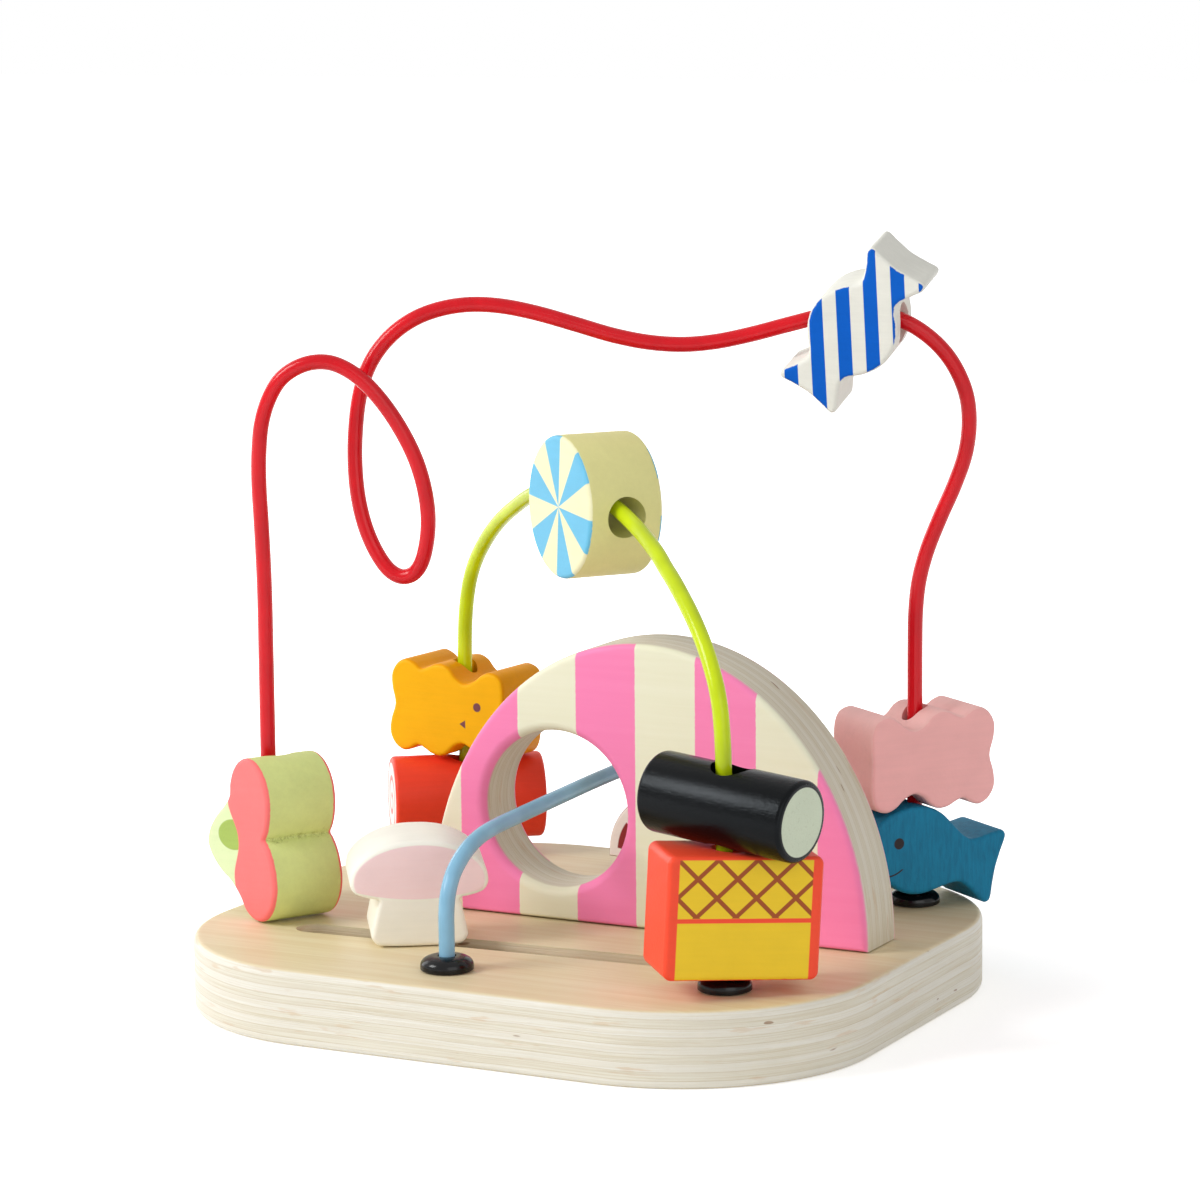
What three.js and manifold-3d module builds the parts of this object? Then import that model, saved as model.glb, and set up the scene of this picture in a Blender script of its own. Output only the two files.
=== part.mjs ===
// Wooden bead frame with sweets for beads: a plywood base, a half-round plywood board with a
// round port, three bent steel rods that carry loose beads, and a toadstool that slides in a groove.
// Millimetres, +Z up. The origin is the middle of the base's underside, +X runs along the front edge.
import * as THREE from 'three';
import { mergeVertices } from 'three/addons/utils/BufferGeometryUtils.js';
import Module from 'manifold-3d';

// Shared stock and fits
const BOARD = 18; // plywood thickness, base and half-round board
const BOARD_EASE = 1.5; // rounding of the plywood edges
const WIRE = 3.8; // rod diameter
const HOLE = 10; // hole through a bead
const BEAR_HOLE = 6.5; // the bears' narrower one
const STOCK = 19.5; // thickness of the beads that are sawn from board
const BEAD_EASE = 1.1; // rounding of the bead edges
const GAP = 0.3; // clearance between pieces that touch

// Base board
const BASE_W = 175;
const BASE_D = 154;
const BASE_CORNER = 48;
const SOCKET_FLOOR = 4; // wood left below a rod's socket

// Groove for the toadstool: a slot in the top over a wider channel that is open below
const GROOVE_MID = [-9.5, -34.3];
const GROOVE_LENGTH = 95; // between the middles of the round ends
const GROOVE_TURN = 3; // degrees from the front edge
const GROOVE_W = 8.6;
const CHANNEL_W = 18.4;
const LIP = 8; // wood over the channel

// Half-round board
const ARCH_X = 16.7;
const ARCH_FRONT = -4.8;
const ARCH_W = 117.8;
const ARCH_H = 69.8;
const PORT_X = -7.5;
const PORT_UP = 27.3; // middle of the port over the base's top
const PORT_R = 19.4;
const PORT_EASE = 2.5; // rounding of the port's rims
const SCREW_X = [-31, 60];
const SCREW_D = 4;
const SCREW_HEAD_D = 8;
const SCREW_LENGTH = 30;

// Rod feet: how far each is set in from the side and from the front or rear edge that it stands near
const RED_RIGHT_IN = [22.9, 27.1];
const LIME_REAR_IN = [22.2, 21.5];
const LIME_FRONT_IN = [27.3, 27.2];
const RED_LEFT_IN = 11;
const RED_LEFT_Y = -24.6;
const BLUE_FRONT_IN = 17;
const BLUE_FRONT_X = -6.7;
const BLUE_REAR_IN = 19;
const BLUE_REAR_X = -4.5;
const RED_LEFT = [RED_LEFT_IN - BASE_W / 2, RED_LEFT_Y];
const RED_RIGHT = [BASE_W / 2 - RED_RIGHT_IN[0], BASE_D / 2 - RED_RIGHT_IN[1]];
const LIME_REAR = [LIME_REAR_IN[0] - BASE_W / 2, BASE_D / 2 - LIME_REAR_IN[1]];
const LIME_FRONT = [BASE_W / 2 - LIME_FRONT_IN[0], LIME_FRONT_IN[1] - BASE_D / 2];
const BLUE_FRONT = [BLUE_FRONT_X, BLUE_FRONT_IN - BASE_D / 2];
const BLUE_REAR = [BLUE_REAR_X, BASE_D / 2 - BLUE_REAR_IN];

// Red rod: along from the left foot to the right one, up from the base's top, out to the front.
// It climbs, bends forward through a narrow loop, dips and ends in a bow above the right foot.
// The last point stands over the right foot, and the rod is stretched to fit its feet and its top.
const RED_TOP = 149.5; // highest bend over the base's top
const RED_SHAPE = [
  [0, 31, 0], [0, 61, 0], [0, 79, 0], [-0.2, 88.8, 0], [-0.5, 97.8, 0], [-0.8, 106.2, 0.4],
  [-0.6, 114.5, 1.1], [0.4, 122.3, 2.1], [2.5, 128.3, 3], [5.2, 132.5, 3.9], [8.8, 135.2, 4.8],
  [13.1, 136.7, 5.7], [17.4, 136.7, 6.5], [21.5, 135.1, 7.1], [25.8, 131.9, 7.5], [30.4, 126.6, 7.6],
  [34.8, 119.6, 7.3], [38, 112.5, 6.7], [39.9, 105.3, 5.8], [40.6, 98, 4.6], [39.9, 91.2, 3.2],
  [38.5, 86.6, 2], [36.7, 84.2, 1], [34.6, 83.3, 0.2], [32.7, 83.5, -0.6], [30.5, 84.9, -1.4],
  [27.8, 88.5, -2.6], [25, 94.7, -3.8], [23.2, 102.1, -4.9], [22.5, 110, -5.8], [22.7, 118.4, -6.3],
  [23.8, 126.9, -6.5], [25.8, 133.5, -6.5], [28.8, 138.6, -6.3], [33, 143, -6], [38.3, 146.4, -5.6],
  [44.7, 148.6, -5.1], [51.5, 149.5, -4.6], [58.9, 149.1, -4], [67.4, 147.4, -3.2], [77.1, 144.6, -2.5],
  [86.5, 141.8, -1.9], [95.2, 140.1, -1.3], [103.4, 139.6, -0.6], [111.1, 140.3, 0.4], [119.5, 142.1, 2],
  [128.9, 144.7, 4.2], [137.7, 147, 6.5], [145, 147.8, 8.4], [151.3, 147.3, 9.7], [156.8, 145.5, 10.4],
  [162, 142.2, 10.6], [166.5, 137.7, 10.4], [169.7, 132.5, 9.7], [171.8, 126.6, 8.7], [172.4, 119.8, 7.4],
  [171.6, 112.8, 6], [169.2, 105.2, 4.5], [165.7, 96.7, 3], [162.6, 88.3, 1.8], [160.8, 80.8, 1],
  [160.1, 73.3, 0.4], [160, 66, 0], [160, 50, 0], [160, 25, 0],
];

// Lime rod: legs and shoulders as distance from the nearer foot and height over the base's top, and a
// crown that is a plain arc, all in one upright plane
const LIME_LEFT = [
  [0, 50], [0.2, 57.8], [1, 63.6], [2.2, 68], [4, 72.2], [6.6, 76.2], [10, 79.9], [14.6, 83.8],
  [19.8, 87.5], [25, 90.6], [30.3, 93.3],
];
const LIME_RIGHT = [
  [0, 46], [0.3, 55], [1, 60.7], [2, 65.2], [3.7, 69.3], [6.2, 73.2], [9.4, 77.1], [13, 80.6],
  [17.2, 84], [22, 87.3], [27.3, 90.6], [32, 93.1],
];
const LIME_CROWN = 105.6; // top of the arc over the base's top
const LIME_RADIUS = 108;
const LIME_TOP_AT = 81; // top of the arc from the rear foot
const LIME_TOP_BEFORE = 81.6; // top of the arc from the front foot
const LIME_SWEEP = 24.5; // degrees of the arc on each side

// Blue rod: along from the front foot to the rear one, and up from the base's top
const BLUE_SHAPE = [
  [0, 8], [0, 13.5], [0.9, 18], [3.2, 22], [6.8, 25], [11.5, 27.4], [17, 28.9], [24, 29.7], [36.6, 30.3],
  [57, 31.2], [75, 31.9], [92, 32.2], [101, 31.9], [107.4, 30.5], [112.4, 27.8], [115.8, 24],
  [117.5, 19.8], [118, 15.5], [118, 8],
];

// Collars, one on each foot where a bead would scrape the base
const COLLAR_D = 12.6;
const COLLAR_H = 3.2;

// Beads: sizes, and places on their rods
const CHERRY_W = 20.4; // one cherry across
const CHERRY_H = 40.2; // both cherries
const CHERRY_LEAF = 23.4; // leaf tip from the cherries' middle line
const CHERRY_HOLE = 6; // hole from the same line
const CHERRY_OFFSET = 8.1; // middle line from the rod
const CHERRY_AZIMUTH = -30;
const CHERRY_LEAN = 8.5;
const CANDY_BODY = 11;
const CANDY_LENGTH = 39.6;
const CANDY_FAN = 16.4;
const CANDY_TURN = 53.5; // long axis from the hole
const CANDY_HANG = 2.3; // middle below the rod
const CANDY_AZIMUTH = 12;
const CANDY_TILT = -8.5;
const CANDY_ALONG = 146; // place on the red rod
const BEAR_LENGTH = 35.4;
const BEAR_WIDTH = 24.4;
const PINK_AZIMUTH = 54;
const PINK_NEST = 1.3; // sunk between the fish's back and its own feet
const ORANGE_AZIMUTH = -5;
const ORANGE_LEAN = -3;
const FISH_BODY = 27.6;
const FISH_HEIGHT = 22.4;
const FISH_TAIL = 23.8; // tail end from the body's middle
const FISH_LEAN = -16;
const FISH_AZIMUTH = 54;
const FISH_OFFSET = -4.5; // body's middle from the rod
const FISH_RISE = 0.55; // lifted, because it leans
const ROLL_LENGTH = 39.6;
const ROLL_D = 22.4;
const ROLL_AZIMUTH = -53.8;
const LIQUORICE_D = 19;
const LIQUORICE_AZIMUTH = 80;
const LIQUORICE_TILT = -4;
const LIQUORICE_OUT = 1.7; // middle from the rod along its own length
const LIQUORICE_LIFT = 0.5; // over the box at the rod, because it tilts
const BOX_W = 36.5;
const BOX_H = 28.7;
const BOX_CORNER = 2;
const BOX_AZIMUTH = 41;
const BOX_OFFSET = 2;
const BOX_LEAN = -3.2;
const PEPPERMINT_D = 34.6;
const PEPPERMINT_PAST = 4.2; // degrees past the top of the crown
const PEPPERMINT_HANG = 2.4; // middle below the rod
const PEPPERMINT_TURN = 3.5; // degrees out of the rod's plane
const DOME_R = 15.5;
const DOME_SIDE = 1.5;
const DOME_AZIMUTH = -10;

// Toadstool and its runner
const STOOL_ALONG = -19.3; // from the groove's middle
const STOOL_AZIMUTH = 34;
const STOOL_LEAN = 3; // degrees forward, loose on its pin
const STOOL_H = 25.6;
const STOOL_CAP_W = 33;
const STOOL_STEM_W = 23;
const STOOL_LIFT = 0.4; // over the base's top
const RUNNER_D = 16.6;
const RUNNER_T = 4;
const RUNNER_NECK = 7.6;
const PIN_D = 5;
const PIN_DEPTH = 13;
const PIN_PLAY = 0.5; // room for the lean

const ROUND = 28; // sides of the turned beads
const ROD_SIDES = 10;
const TOP = BOARD; // height of the base's top face
const SEAT = COLLAR_H + 2 * GAP; // where beads come to rest over the base's top
const rad = THREE.MathUtils.degToRad;
const wasm = await Module();
wasm.setup();

// Closed three.js geometry to a solid
function solid(geometry) {
  const bare = geometry.clone();
  bare.deleteAttribute('normal');
  bare.deleteAttribute('uv');
  const merged = mergeVertices(bare, 1e-4);
  const mesh = new wasm.Mesh({
    numProp: 3,
    vertProperties: new Float32Array(merged.attributes.position.array),
    triVerts: new Uint32Array(merged.index.array),
  });
  return new wasm.Manifold(mesh);
}

// Solid back to a mesh with its own material
function piece(name, body, color, roughness, metalness = 0) {
  const out = body.getMesh();
  const geometry = new THREE.BufferGeometry();
  geometry.setAttribute('position', new THREE.BufferAttribute(new Float32Array(out.vertProperties), 3));
  geometry.setIndex(new THREE.BufferAttribute(new Uint32Array(out.triVerts), 1));
  geometry.computeVertexNormals();
  const mesh = new THREE.Mesh(geometry, new THREE.MeshStandardMaterial({ color, roughness, metalness }));
  mesh.name = name;
  return mesh;
}

// Outline with eased edges, as thick as given, middle of the thickness at zero
function slab(points, thickness, ease, steps = 2) {
  const geometry = new THREE.ExtrudeGeometry(new THREE.Shape(points), {
    depth: thickness - 2 * ease,
    bevelEnabled: true,
    bevelThickness: ease,
    bevelSize: ease,
    bevelOffset: -ease,
    bevelSegments: steps,
  });
  return geometry.translate(0, 0, ease - thickness / 2);
}

// Round bar along local y between two heights
function bar(radius, low, high, x = 0, sides = 20) {
  const geometry = new THREE.CylinderGeometry(radius, radius, high - low, sides);
  return geometry.translate(x, (low + high) / 2, 0);
}

// Upright round bar in the object's frame
function upright(radius, low, high, place, sides = 20) {
  return bar(radius, low, high, 0, sides).rotateX(Math.PI / 2).translate(place[0], place[1], 0);
}

function vectors(pairs) {
  return pairs.map(([x, y]) => new THREE.Vector2(x, y));
}

// Half outline, from the axis to the axis, completed by its mirror image across local x
function mirrored(half) {
  const other = half.slice(1, -1).reverse().map(([x, y]) => [x, -y]);
  return half.concat(other);
}

// Closed smooth outline through the points
function smooth(pairs, divisions) {
  const points = pairs.map(([x, y]) => new THREE.Vector3(x, y, 0));
  const curve = new THREE.CatmullRomCurve3(points, true, 'centripetal');
  return curve.getPoints(divisions).slice(0, -1).map((p) => new THREE.Vector2(p.x, p.y));
}

function circle(radius, sides) {
  return new THREE.EllipseCurve(0, 0, radius, radius).getPoints(sides).slice(0, -1);
}

function roundedRectangle(width, height, corner, steps) {
  const shape = new THREE.Shape();
  const [x, y] = [width / 2 - corner, height / 2 - corner];
  shape.absarc(x, -y, corner, -Math.PI / 2, 0);
  shape.absarc(x, y, corner, 0, Math.PI / 2);
  shape.absarc(-x, y, corner, Math.PI / 2, Math.PI);
  shape.absarc(-x, -y, corner, Math.PI, 1.5 * Math.PI);
  return shape.getPoints(steps);
}

// Slot with round ends along x
function stadium(length, width, steps) {
  const shape = new THREE.Shape();
  shape.absarc(length / 2, 0, width / 2, -Math.PI / 2, Math.PI / 2);
  shape.absarc(-length / 2, 0, width / 2, Math.PI / 2, 1.5 * Math.PI);
  return shape.getPoints(steps);
}

// Straight-sided block of an outline between two heights in the object's frame
function block(points, low, high) {
  const plain = { depth: high - low, bevelEnabled: false };
  return new THREE.ExtrudeGeometry(new THREE.Shape(points), plain).translate(0, 0, low);
}

// Turned piece about z from a closed profile of radius and height
function turned(profile, sides) {
  const closed = profile.concat([profile[0]]);
  return new THREE.LatheGeometry(vectors(closed), sides).rotateX(Math.PI / 2);
}

// Curve that is sampled at its own points
class BentRod extends THREE.CatmullRomCurve3 {
  getPointAt(t, target) {
    return this.getPoint(t, target);
  }

  getTangentAt(t, target) {
    return this.getTangent(t, target);
  }
}

function rod(points) {
  const curve = new BentRod(points, false, 'centripetal');
  const section = new THREE.Shape(circle(WIRE / 2, ROD_SIDES));
  return new THREE.ExtrudeGeometry(section, {
    steps: points.length - 1,
    extrudePath: curve,
    bevelEnabled: false,
  });
}

// Upright plane through two feet: along, up, and out to the front
function planeOf(from, to) {
  const span = Math.hypot(to[0] - from[0], to[1] - from[1]);
  const along = new THREE.Vector3((to[0] - from[0]) / span, (to[1] - from[1]) / span, 0);
  const out = new THREE.Vector3(along.y, -along.x, 0);
  const at = (a, u, o = 0) => new THREE.Vector3(from[0], from[1], TOP + u)
    .addScaledVector(along, a)
    .addScaledVector(out, o);
  return { span, along, at };
}

const SOCKET_END = SOCKET_FLOOR + GAP - TOP; // rod end, measured from the base's top
const feet = [RED_LEFT, RED_RIGHT, LIME_REAR, LIME_FRONT, BLUE_FRONT, BLUE_REAR];

// Base board with sockets, groove, channel and screw holes
const baseOutline = roundedRectangle(BASE_W, BASE_D, BASE_CORNER, 9);
let base = solid(slab(baseOutline, BOARD, BOARD_EASE).translate(0, 0, BOARD / 2));
const slot = block(stadium(GROOVE_LENGTH, GROOVE_W, 8), TOP - LIP - 1, TOP + 1);
const channel = block(stadium(GROOVE_LENGTH, CHANNEL_W, 10), -1, TOP - LIP);
for (const cut of [slot, channel]) {
  base = base.subtract(solid(cut.rotateZ(rad(GROOVE_TURN)).translate(GROOVE_MID[0], GROOVE_MID[1], 0)));
}
for (const foot of feet) {
  base = base.subtract(solid(upright(WIRE / 2 + GAP, SOCKET_FLOOR, TOP + 1, foot, 16)));
}
const ARCH_Y = ARCH_FRONT + BOARD / 2;
const SCREW_START = 2 * GAP; // head sunk below the underside
const HEAD_H = (SCREW_HEAD_D - SCREW_D) / 2;
const sink = turned([
  [0, -1], [SCREW_HEAD_D / 2 + GAP, -1], [SCREW_HEAD_D / 2 + GAP, SCREW_START],
  [SCREW_D / 2 + GAP, SCREW_START + HEAD_H], [SCREW_D / 2 + GAP, TOP + 1], [0, TOP + 1],
], 16);
for (const x of SCREW_X) {
  base = base.subtract(solid(sink.clone().translate(x, ARCH_Y, 0)));
}

// Half-round board with its port and the pilot holes of its screws
const archHalf = new THREE.EllipseCurve(0, 0, ARCH_W / 2, ARCH_H, 0, Math.PI).getPoints(44);
let arch = solid(slab(archHalf, BOARD, BOARD_EASE));
const rim = [[PORT_R + PORT_EASE, BOARD / 2 + 1]];
for (let i = 0; i <= 3; i += 1) {
  const turn = (Math.PI / 2) * (i / 3);
  rim.push([PORT_R + PORT_EASE * (1 - Math.sin(turn)), BOARD / 2 - PORT_EASE * (1 - Math.cos(turn))]);
}
const rearRim = rim.map(([r, z]) => [r, -z]);
const port = turned([[0, -BOARD / 2 - 1], ...rearRim, ...rim.reverse(), [0, BOARD / 2 + 1]], 48);
arch = arch.subtract(solid(port.translate(PORT_X - ARCH_X, PORT_UP, 0)));
const pilotEnd = SCREW_START + SCREW_LENGTH - TOP + GAP;
for (const x of SCREW_X) {
  arch = arch.subtract(solid(bar(SCREW_D / 2 + GAP, -1, pilotEnd, x - ARCH_X, 16)));
}
const archMesh = piece('arch_board', arch, 0xebe5c8, 0.6);
archMesh.position.set(ARCH_X, ARCH_Y, TOP + GAP);
archMesh.rotation.x = Math.PI / 2;

const screw = turned([
  [0, 0], [SCREW_HEAD_D / 2, 0], [SCREW_D / 2, HEAD_H], [SCREW_D / 2, SCREW_LENGTH - 3], [0, SCREW_LENGTH],
], 16);
const screws = SCREW_X.map((x, i) => {
  const mesh = piece(`arch_screw_${i + 1}`, solid(screw), 0xb4b6b8, 0.35, 1);
  mesh.position.set(x, ARCH_Y, SCREW_START);
  return mesh;
});

// Red rod
const red = planeOf(RED_LEFT, RED_RIGHT);
const redScale = red.span / RED_SHAPE.at(-1)[0];
const redRise = RED_TOP / Math.max(...RED_SHAPE.map((p) => p[1]));
const redPath = [red.at(0, SOCKET_END)]
  .concat(RED_SHAPE.map(([a, u, o]) => red.at(a * redScale, u * redRise, o)))
  .concat([red.at(red.span, SOCKET_END)]);

// Lime rod
const lime = planeOf(LIME_REAR, LIME_FRONT);
const limeReach = LIME_TOP_AT + LIME_TOP_BEFORE;
const limeScale = lime.span / limeReach;
const limeCentre = LIME_CROWN - LIME_RADIUS;
const limeArc = [];
for (let i = -5; i <= 5; i += 1) {
  const turn = rad(LIME_SWEEP) * (i / 5);
  limeArc.push([LIME_TOP_AT + LIME_RADIUS * Math.sin(turn), limeCentre + LIME_RADIUS * Math.cos(turn)]);
}
const limeRight = LIME_RIGHT.slice().reverse().map(([a, u]) => [limeReach - a, u]);
const limePath = [[0, SOCKET_END], ...LIME_LEFT, ...limeArc, ...limeRight, [limeReach, SOCKET_END]]
  .map(([a, u]) => lime.at(a * limeScale, u));

// Blue rod through the port
const blue = planeOf(BLUE_FRONT, BLUE_REAR);
const blueReach = BLUE_SHAPE.at(-1)[0];
const blueScale = blue.span / blueReach;
const bluePath = [[0, SOCKET_END], ...BLUE_SHAPE, [blueReach, SOCKET_END]]
  .map(([a, u]) => blue.at(a * blueScale, u));

const rods = [
  piece('red_wire', solid(rod(redPath)), 0xe0222f, 0.35),
  piece('lime_wire', solid(rod(limePath)), 0xc9d92a, 0.35),
  piece('blue_wire', solid(rod(bluePath)), 0x82a7bb, 0.35),
];

// Domed collars
const collarBore = WIRE / 2 + GAP;
const collar = turned([
  [collarBore, 0], [COLLAR_D / 2, 0], [COLLAR_D / 2, COLLAR_H * 0.3], [COLLAR_D * 0.47, COLLAR_H * 0.55],
  [COLLAR_D * 0.41, COLLAR_H * 0.8], [COLLAR_D * 0.33, COLLAR_H * 0.95], [COLLAR_D * 0.25, COLLAR_H],
  [collarBore, COLLAR_H],
], 20);
const collarFeet = {
  collar_red_right: RED_RIGHT,
  collar_lime_rear: LIME_REAR,
  collar_lime_front: LIME_FRONT,
  collar_blue_front: BLUE_FRONT,
  collar_blue_rear: BLUE_REAR,
};
const collars = Object.entries(collarFeet).map(([name, foot]) => {
  const mesh = piece(name, solid(collar), 0x17171a, 0.25);
  mesh.position.set(foot[0], foot[1], TOP + GAP);
  return mesh;
});

// Stands a bead on its rod: its face looks to azimuth (0 is the front, positive to the right), its
// local origin is up from the base's top and shifted along its face, and it may be tilted and leaned.
function place(mesh, foot, azimuth, up, { along = 0, out = 0, tilt = 0, lean = 0 } = {}) {
  const holder = new THREE.Group();
  holder.position.set(foot[0], foot[1], TOP + up);
  holder.rotation.z = rad(azimuth);
  mesh.position.set(along, -out, 0);
  mesh.rotation.set(Math.PI / 2 - rad(tilt), 0, rad(lean));
  holder.add(mesh);
  return holder;
}

const drillReach = CHERRY_H + ROLL_LENGTH; // past a bead's middle, longer than any bead
function drilled(geometry, x = 0, width = HOLE) {
  return solid(geometry).subtract(solid(bar(width / 2, -drillReach, drillReach, x, 24)));
}

// Pair of cherries with one leaf: half outlines as shares of one cherry's width and of the height
const cherrySide = [
  [0.3, 0], [0.345, 0.024], [0.4, 0.062], [0.45, 0.112], [0.485, 0.175], [0.5, 0.245], [0.475, 0.325],
  [0.39, 0.405], [0.25, 0.468], [0.06, 0.499], [-0.14, 0.488], [-0.31, 0.436], [-0.43, 0.352],
  [-0.475, 0.275],
].map(([x, y]) => [x * CHERRY_W, y * CHERRY_H]);
const cherryLeaf = [
  [-0.56, 0.36], [-0.78, 0.24], [-0.93, 0.115], [-1, -0.02], [-0.975, -0.12], [-0.89, -0.23], [-0.72, -0.36],
  [-0.55, -0.45],
].map(([x, y]) => [x * CHERRY_LEAF, y * CHERRY_LEAF]);
const cherryLower = cherrySide.slice(1, -1).reverse().map(([x, y]) => [x, -y]);
const cherryOutline = vectors(cherrySide.concat(cherryLeaf, cherryLower));
const cherryBody = slab(cherryOutline, STOCK, BEAD_EASE).rotateZ(rad(CHERRY_LEAN));
cherryBody.computeBoundingBox();
const cherryBead = place(piece('cherry_bead', drilled(cherryBody, -CHERRY_HOLE), 0xc7d17e, 0.55), RED_LEFT,
  CHERRY_AZIMUTH, GAP - cherryBody.boundingBox.min.y, { along: CHERRY_OFFSET });

// Wrapped sweet: round body, two fans
const [candyEnd, candyFan] = [CANDY_LENGTH / 2, CANDY_FAN / 2];
const candyQuarter = [
  [0, CANDY_BODY], [CANDY_BODY * 0.36, CANDY_BODY * 0.93], [CANDY_BODY * 0.68, CANDY_BODY * 0.74],
  [CANDY_BODY * 0.91, CANDY_BODY * 0.53], [CANDY_BODY * 1.04, CANDY_BODY * 0.47],
  [CANDY_BODY * 1.18, CANDY_BODY * 0.5], [candyEnd * 0.8, candyFan * 0.84], [candyEnd * 0.93, candyFan],
  [candyEnd, candyFan * 0.93], [candyEnd * 0.985, candyFan * 0.5], [candyEnd * 0.965, 0],
];
const candyLeft = candyQuarter.slice(1).reverse().map(([x, y]) => [-x, y]);
const candyOutline = smooth(mirrored(candyLeft.concat(candyQuarter)), 72);
const candyBody = slab(candyOutline, STOCK, BEAD_EASE).rotateZ(rad(CANDY_TURN));
const candyDrill = bar(HOLE / 2, -drillReach, drillReach, 0, 24).rotateZ(Math.PI / 2);
const candy = solid(candyBody).subtract(solid(candyDrill));
const candyAt = new BentRod(redPath.slice(1, -1), false, 'centripetal').getPoints(600)
  .reduce((best, p) => {
    const miss = Math.abs(p.clone().sub(red.at(0, 0)).dot(red.along) - CANDY_ALONG * redScale);
    const high = p.z > TOP + LIME_CROWN;
    return high && miss < best.miss ? { miss, p } : best;
  }, { miss: Infinity, p: null }).p;
const candyBead = place(piece('candy_bead', candy, 0xe6e4d7, 0.5), [candyAt.x, candyAt.y], CANDY_AZIMUTH,
  candyAt.z - TOP - CANDY_HANG, { tilt: CANDY_TILT });

// Two bears lying on their sides, drilled across the waist
const bearHalf = [
  [0.5, 0], [0.5, 0.33], [0.46, 0.45], [0.375, 0.49], [0.3, 0.45], [0.24, 0.377], [0.155, 0.328],
  [0.085, 0.37], [0.023, 0.46], [-0.042, 0.5], [-0.118, 0.488], [-0.178, 0.447], [-0.235, 0.422],
  [-0.293, 0.471], [-0.367, 0.5], [-0.44, 0.45], [-0.49, 0.33], [-0.487, 0.18], [-0.455, 0],
].map(([x, y]) => [x * BEAR_LENGTH, y * BEAR_WIDTH]);
const bearOutline = smooth(mirrored(bearHalf), 80);
const bearBody = slab(bearOutline, STOCK, BEAD_EASE).rotateZ(rad(ORANGE_LEAN));
bearBody.computeBoundingBox();
const pinkOutline = bearOutline.map((p) => new THREE.Vector2(-p.x, p.y)).reverse();
const pinkBear = drilled(slab(pinkOutline, STOCK, BEAD_EASE), 0, BEAR_HOLE);
const fishUp = SEAT + FISH_HEIGHT / 2 + FISH_RISE;
const pinkUp = fishUp + FISH_HEIGHT / 2 + BEAR_WIDTH / 2 - PINK_NEST;
const pinkBead = place(piece('pink_bear_bead', pinkBear, 0xe3a3a0, 0.6), RED_RIGHT, PINK_AZIMUTH, pinkUp);
const orangeUp = SEAT + ROLL_D + GAP - bearBody.boundingBox.min.y;
const orangeBear = piece('orange_bear_bead', drilled(bearBody, 0, BEAR_HOLE), 0xf6b02c, 0.5);
const orangeBead = place(orangeBear, LIME_REAR, ORANGE_AZIMUTH, orangeUp);

// Fish with its tail down, drilled upright
const fishHalf = [
  [-0.5, 0], [-0.48, 0.14], [-0.41, 0.262], [-0.29, 0.375], [-0.145, 0.458], [0, 0.49], [0.145, 0.46],
  [0.29, 0.37], [0.417, 0.285],
].map(([x, y]) => [x * FISH_BODY, y * FISH_HEIGHT]).concat([
  [0.59, 0.235], [0.685, 0.262], [0.83, 0.338], [0.95, 0.39], [1, 0.355], [0.99, 0.165], [0.98, 0],
].map(([x, y]) => [x * FISH_TAIL, y * FISH_TAIL]));
const fishBody = slab(smooth(mirrored(fishHalf), 72), STOCK, BEAD_EASE).rotateZ(rad(FISH_LEAN));
const fish = drilled(fishBody, -FISH_OFFSET);
const fishBead = place(piece('fish_bead', fish, 0x1f7397, 0.6), RED_RIGHT, FISH_AZIMUTH, fishUp,
  { along: FISH_OFFSET });

// Red roll: a turned dowel drilled across
const rollBody = drilled(slab(circle(ROLL_D / 2, ROUND), ROLL_LENGTH, BEAD_EASE, 1));
const roll = piece('red_roll_bead', rollBody, 0xe8432a, 0.5);
const rollBead = place(roll, LIME_REAR, ROLL_AZIMUTH, SEAT + ROLL_D / 2);

// Waffle box, leaning a little on its collar
const boxBody = slab(roundedRectangle(BOX_W, BOX_H, BOX_CORNER, 3), STOCK, BEAD_EASE).rotateZ(rad(BOX_LEAN));
const boxDrop = (COLLAR_D / 2 + BOX_OFFSET) * Math.sin(rad(-BOX_LEAN));
const boxUp = SEAT + boxDrop + BOX_H / 2;
const waffleBox = piece('waffle_box_bead', drilled(boxBody), 0xf04a2c, 0.5);
const boxBead = place(waffleBox, LIME_FRONT, BOX_AZIMUTH, boxUp, { along: BOX_OFFSET });

// Liquorice roll, tilted on the box's front edge
const liquorice = drilled(slab(circle(LIQUORICE_D / 2, ROUND), ROLL_LENGTH, BEAD_EASE, 1));
const liquoriceUp = boxUp + BOX_H / 2 + LIQUORICE_D / 2 + LIQUORICE_LIFT;
const liquoriceBead = place(piece('liquorice_bead', liquorice, 0x1e1e22, 0.45), LIME_FRONT, LIQUORICE_AZIMUTH,
  liquoriceUp, { out: LIQUORICE_OUT, tilt: LIQUORICE_TILT });

// Peppermint: a disc drilled across, hanging on the crown of the lime rod
const mint = drilled(slab(circle(PEPPERMINT_D / 2, 40), STOCK, BEAD_EASE).rotateZ(Math.PI / 40));
const mintRadius = LIME_RADIUS - PEPPERMINT_HANG;
const mintTurn = rad(PEPPERMINT_PAST);
const mintAt = lime.at(LIME_TOP_AT * limeScale + mintRadius * Math.sin(mintTurn),
  limeCentre + mintRadius * Math.cos(mintTurn));
const mintAzimuth = THREE.MathUtils.radToDeg(Math.atan2(lime.along.y, lime.along.x)) + PEPPERMINT_TURN;
const mintBead = place(piece('peppermint_bead', mint, 0xdcd79a, 0.5), [mintAt.x, mintAt.y], mintAzimuth,
  mintAt.z - TOP, { lean: -90 - PEPPERMINT_PAST });

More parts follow.
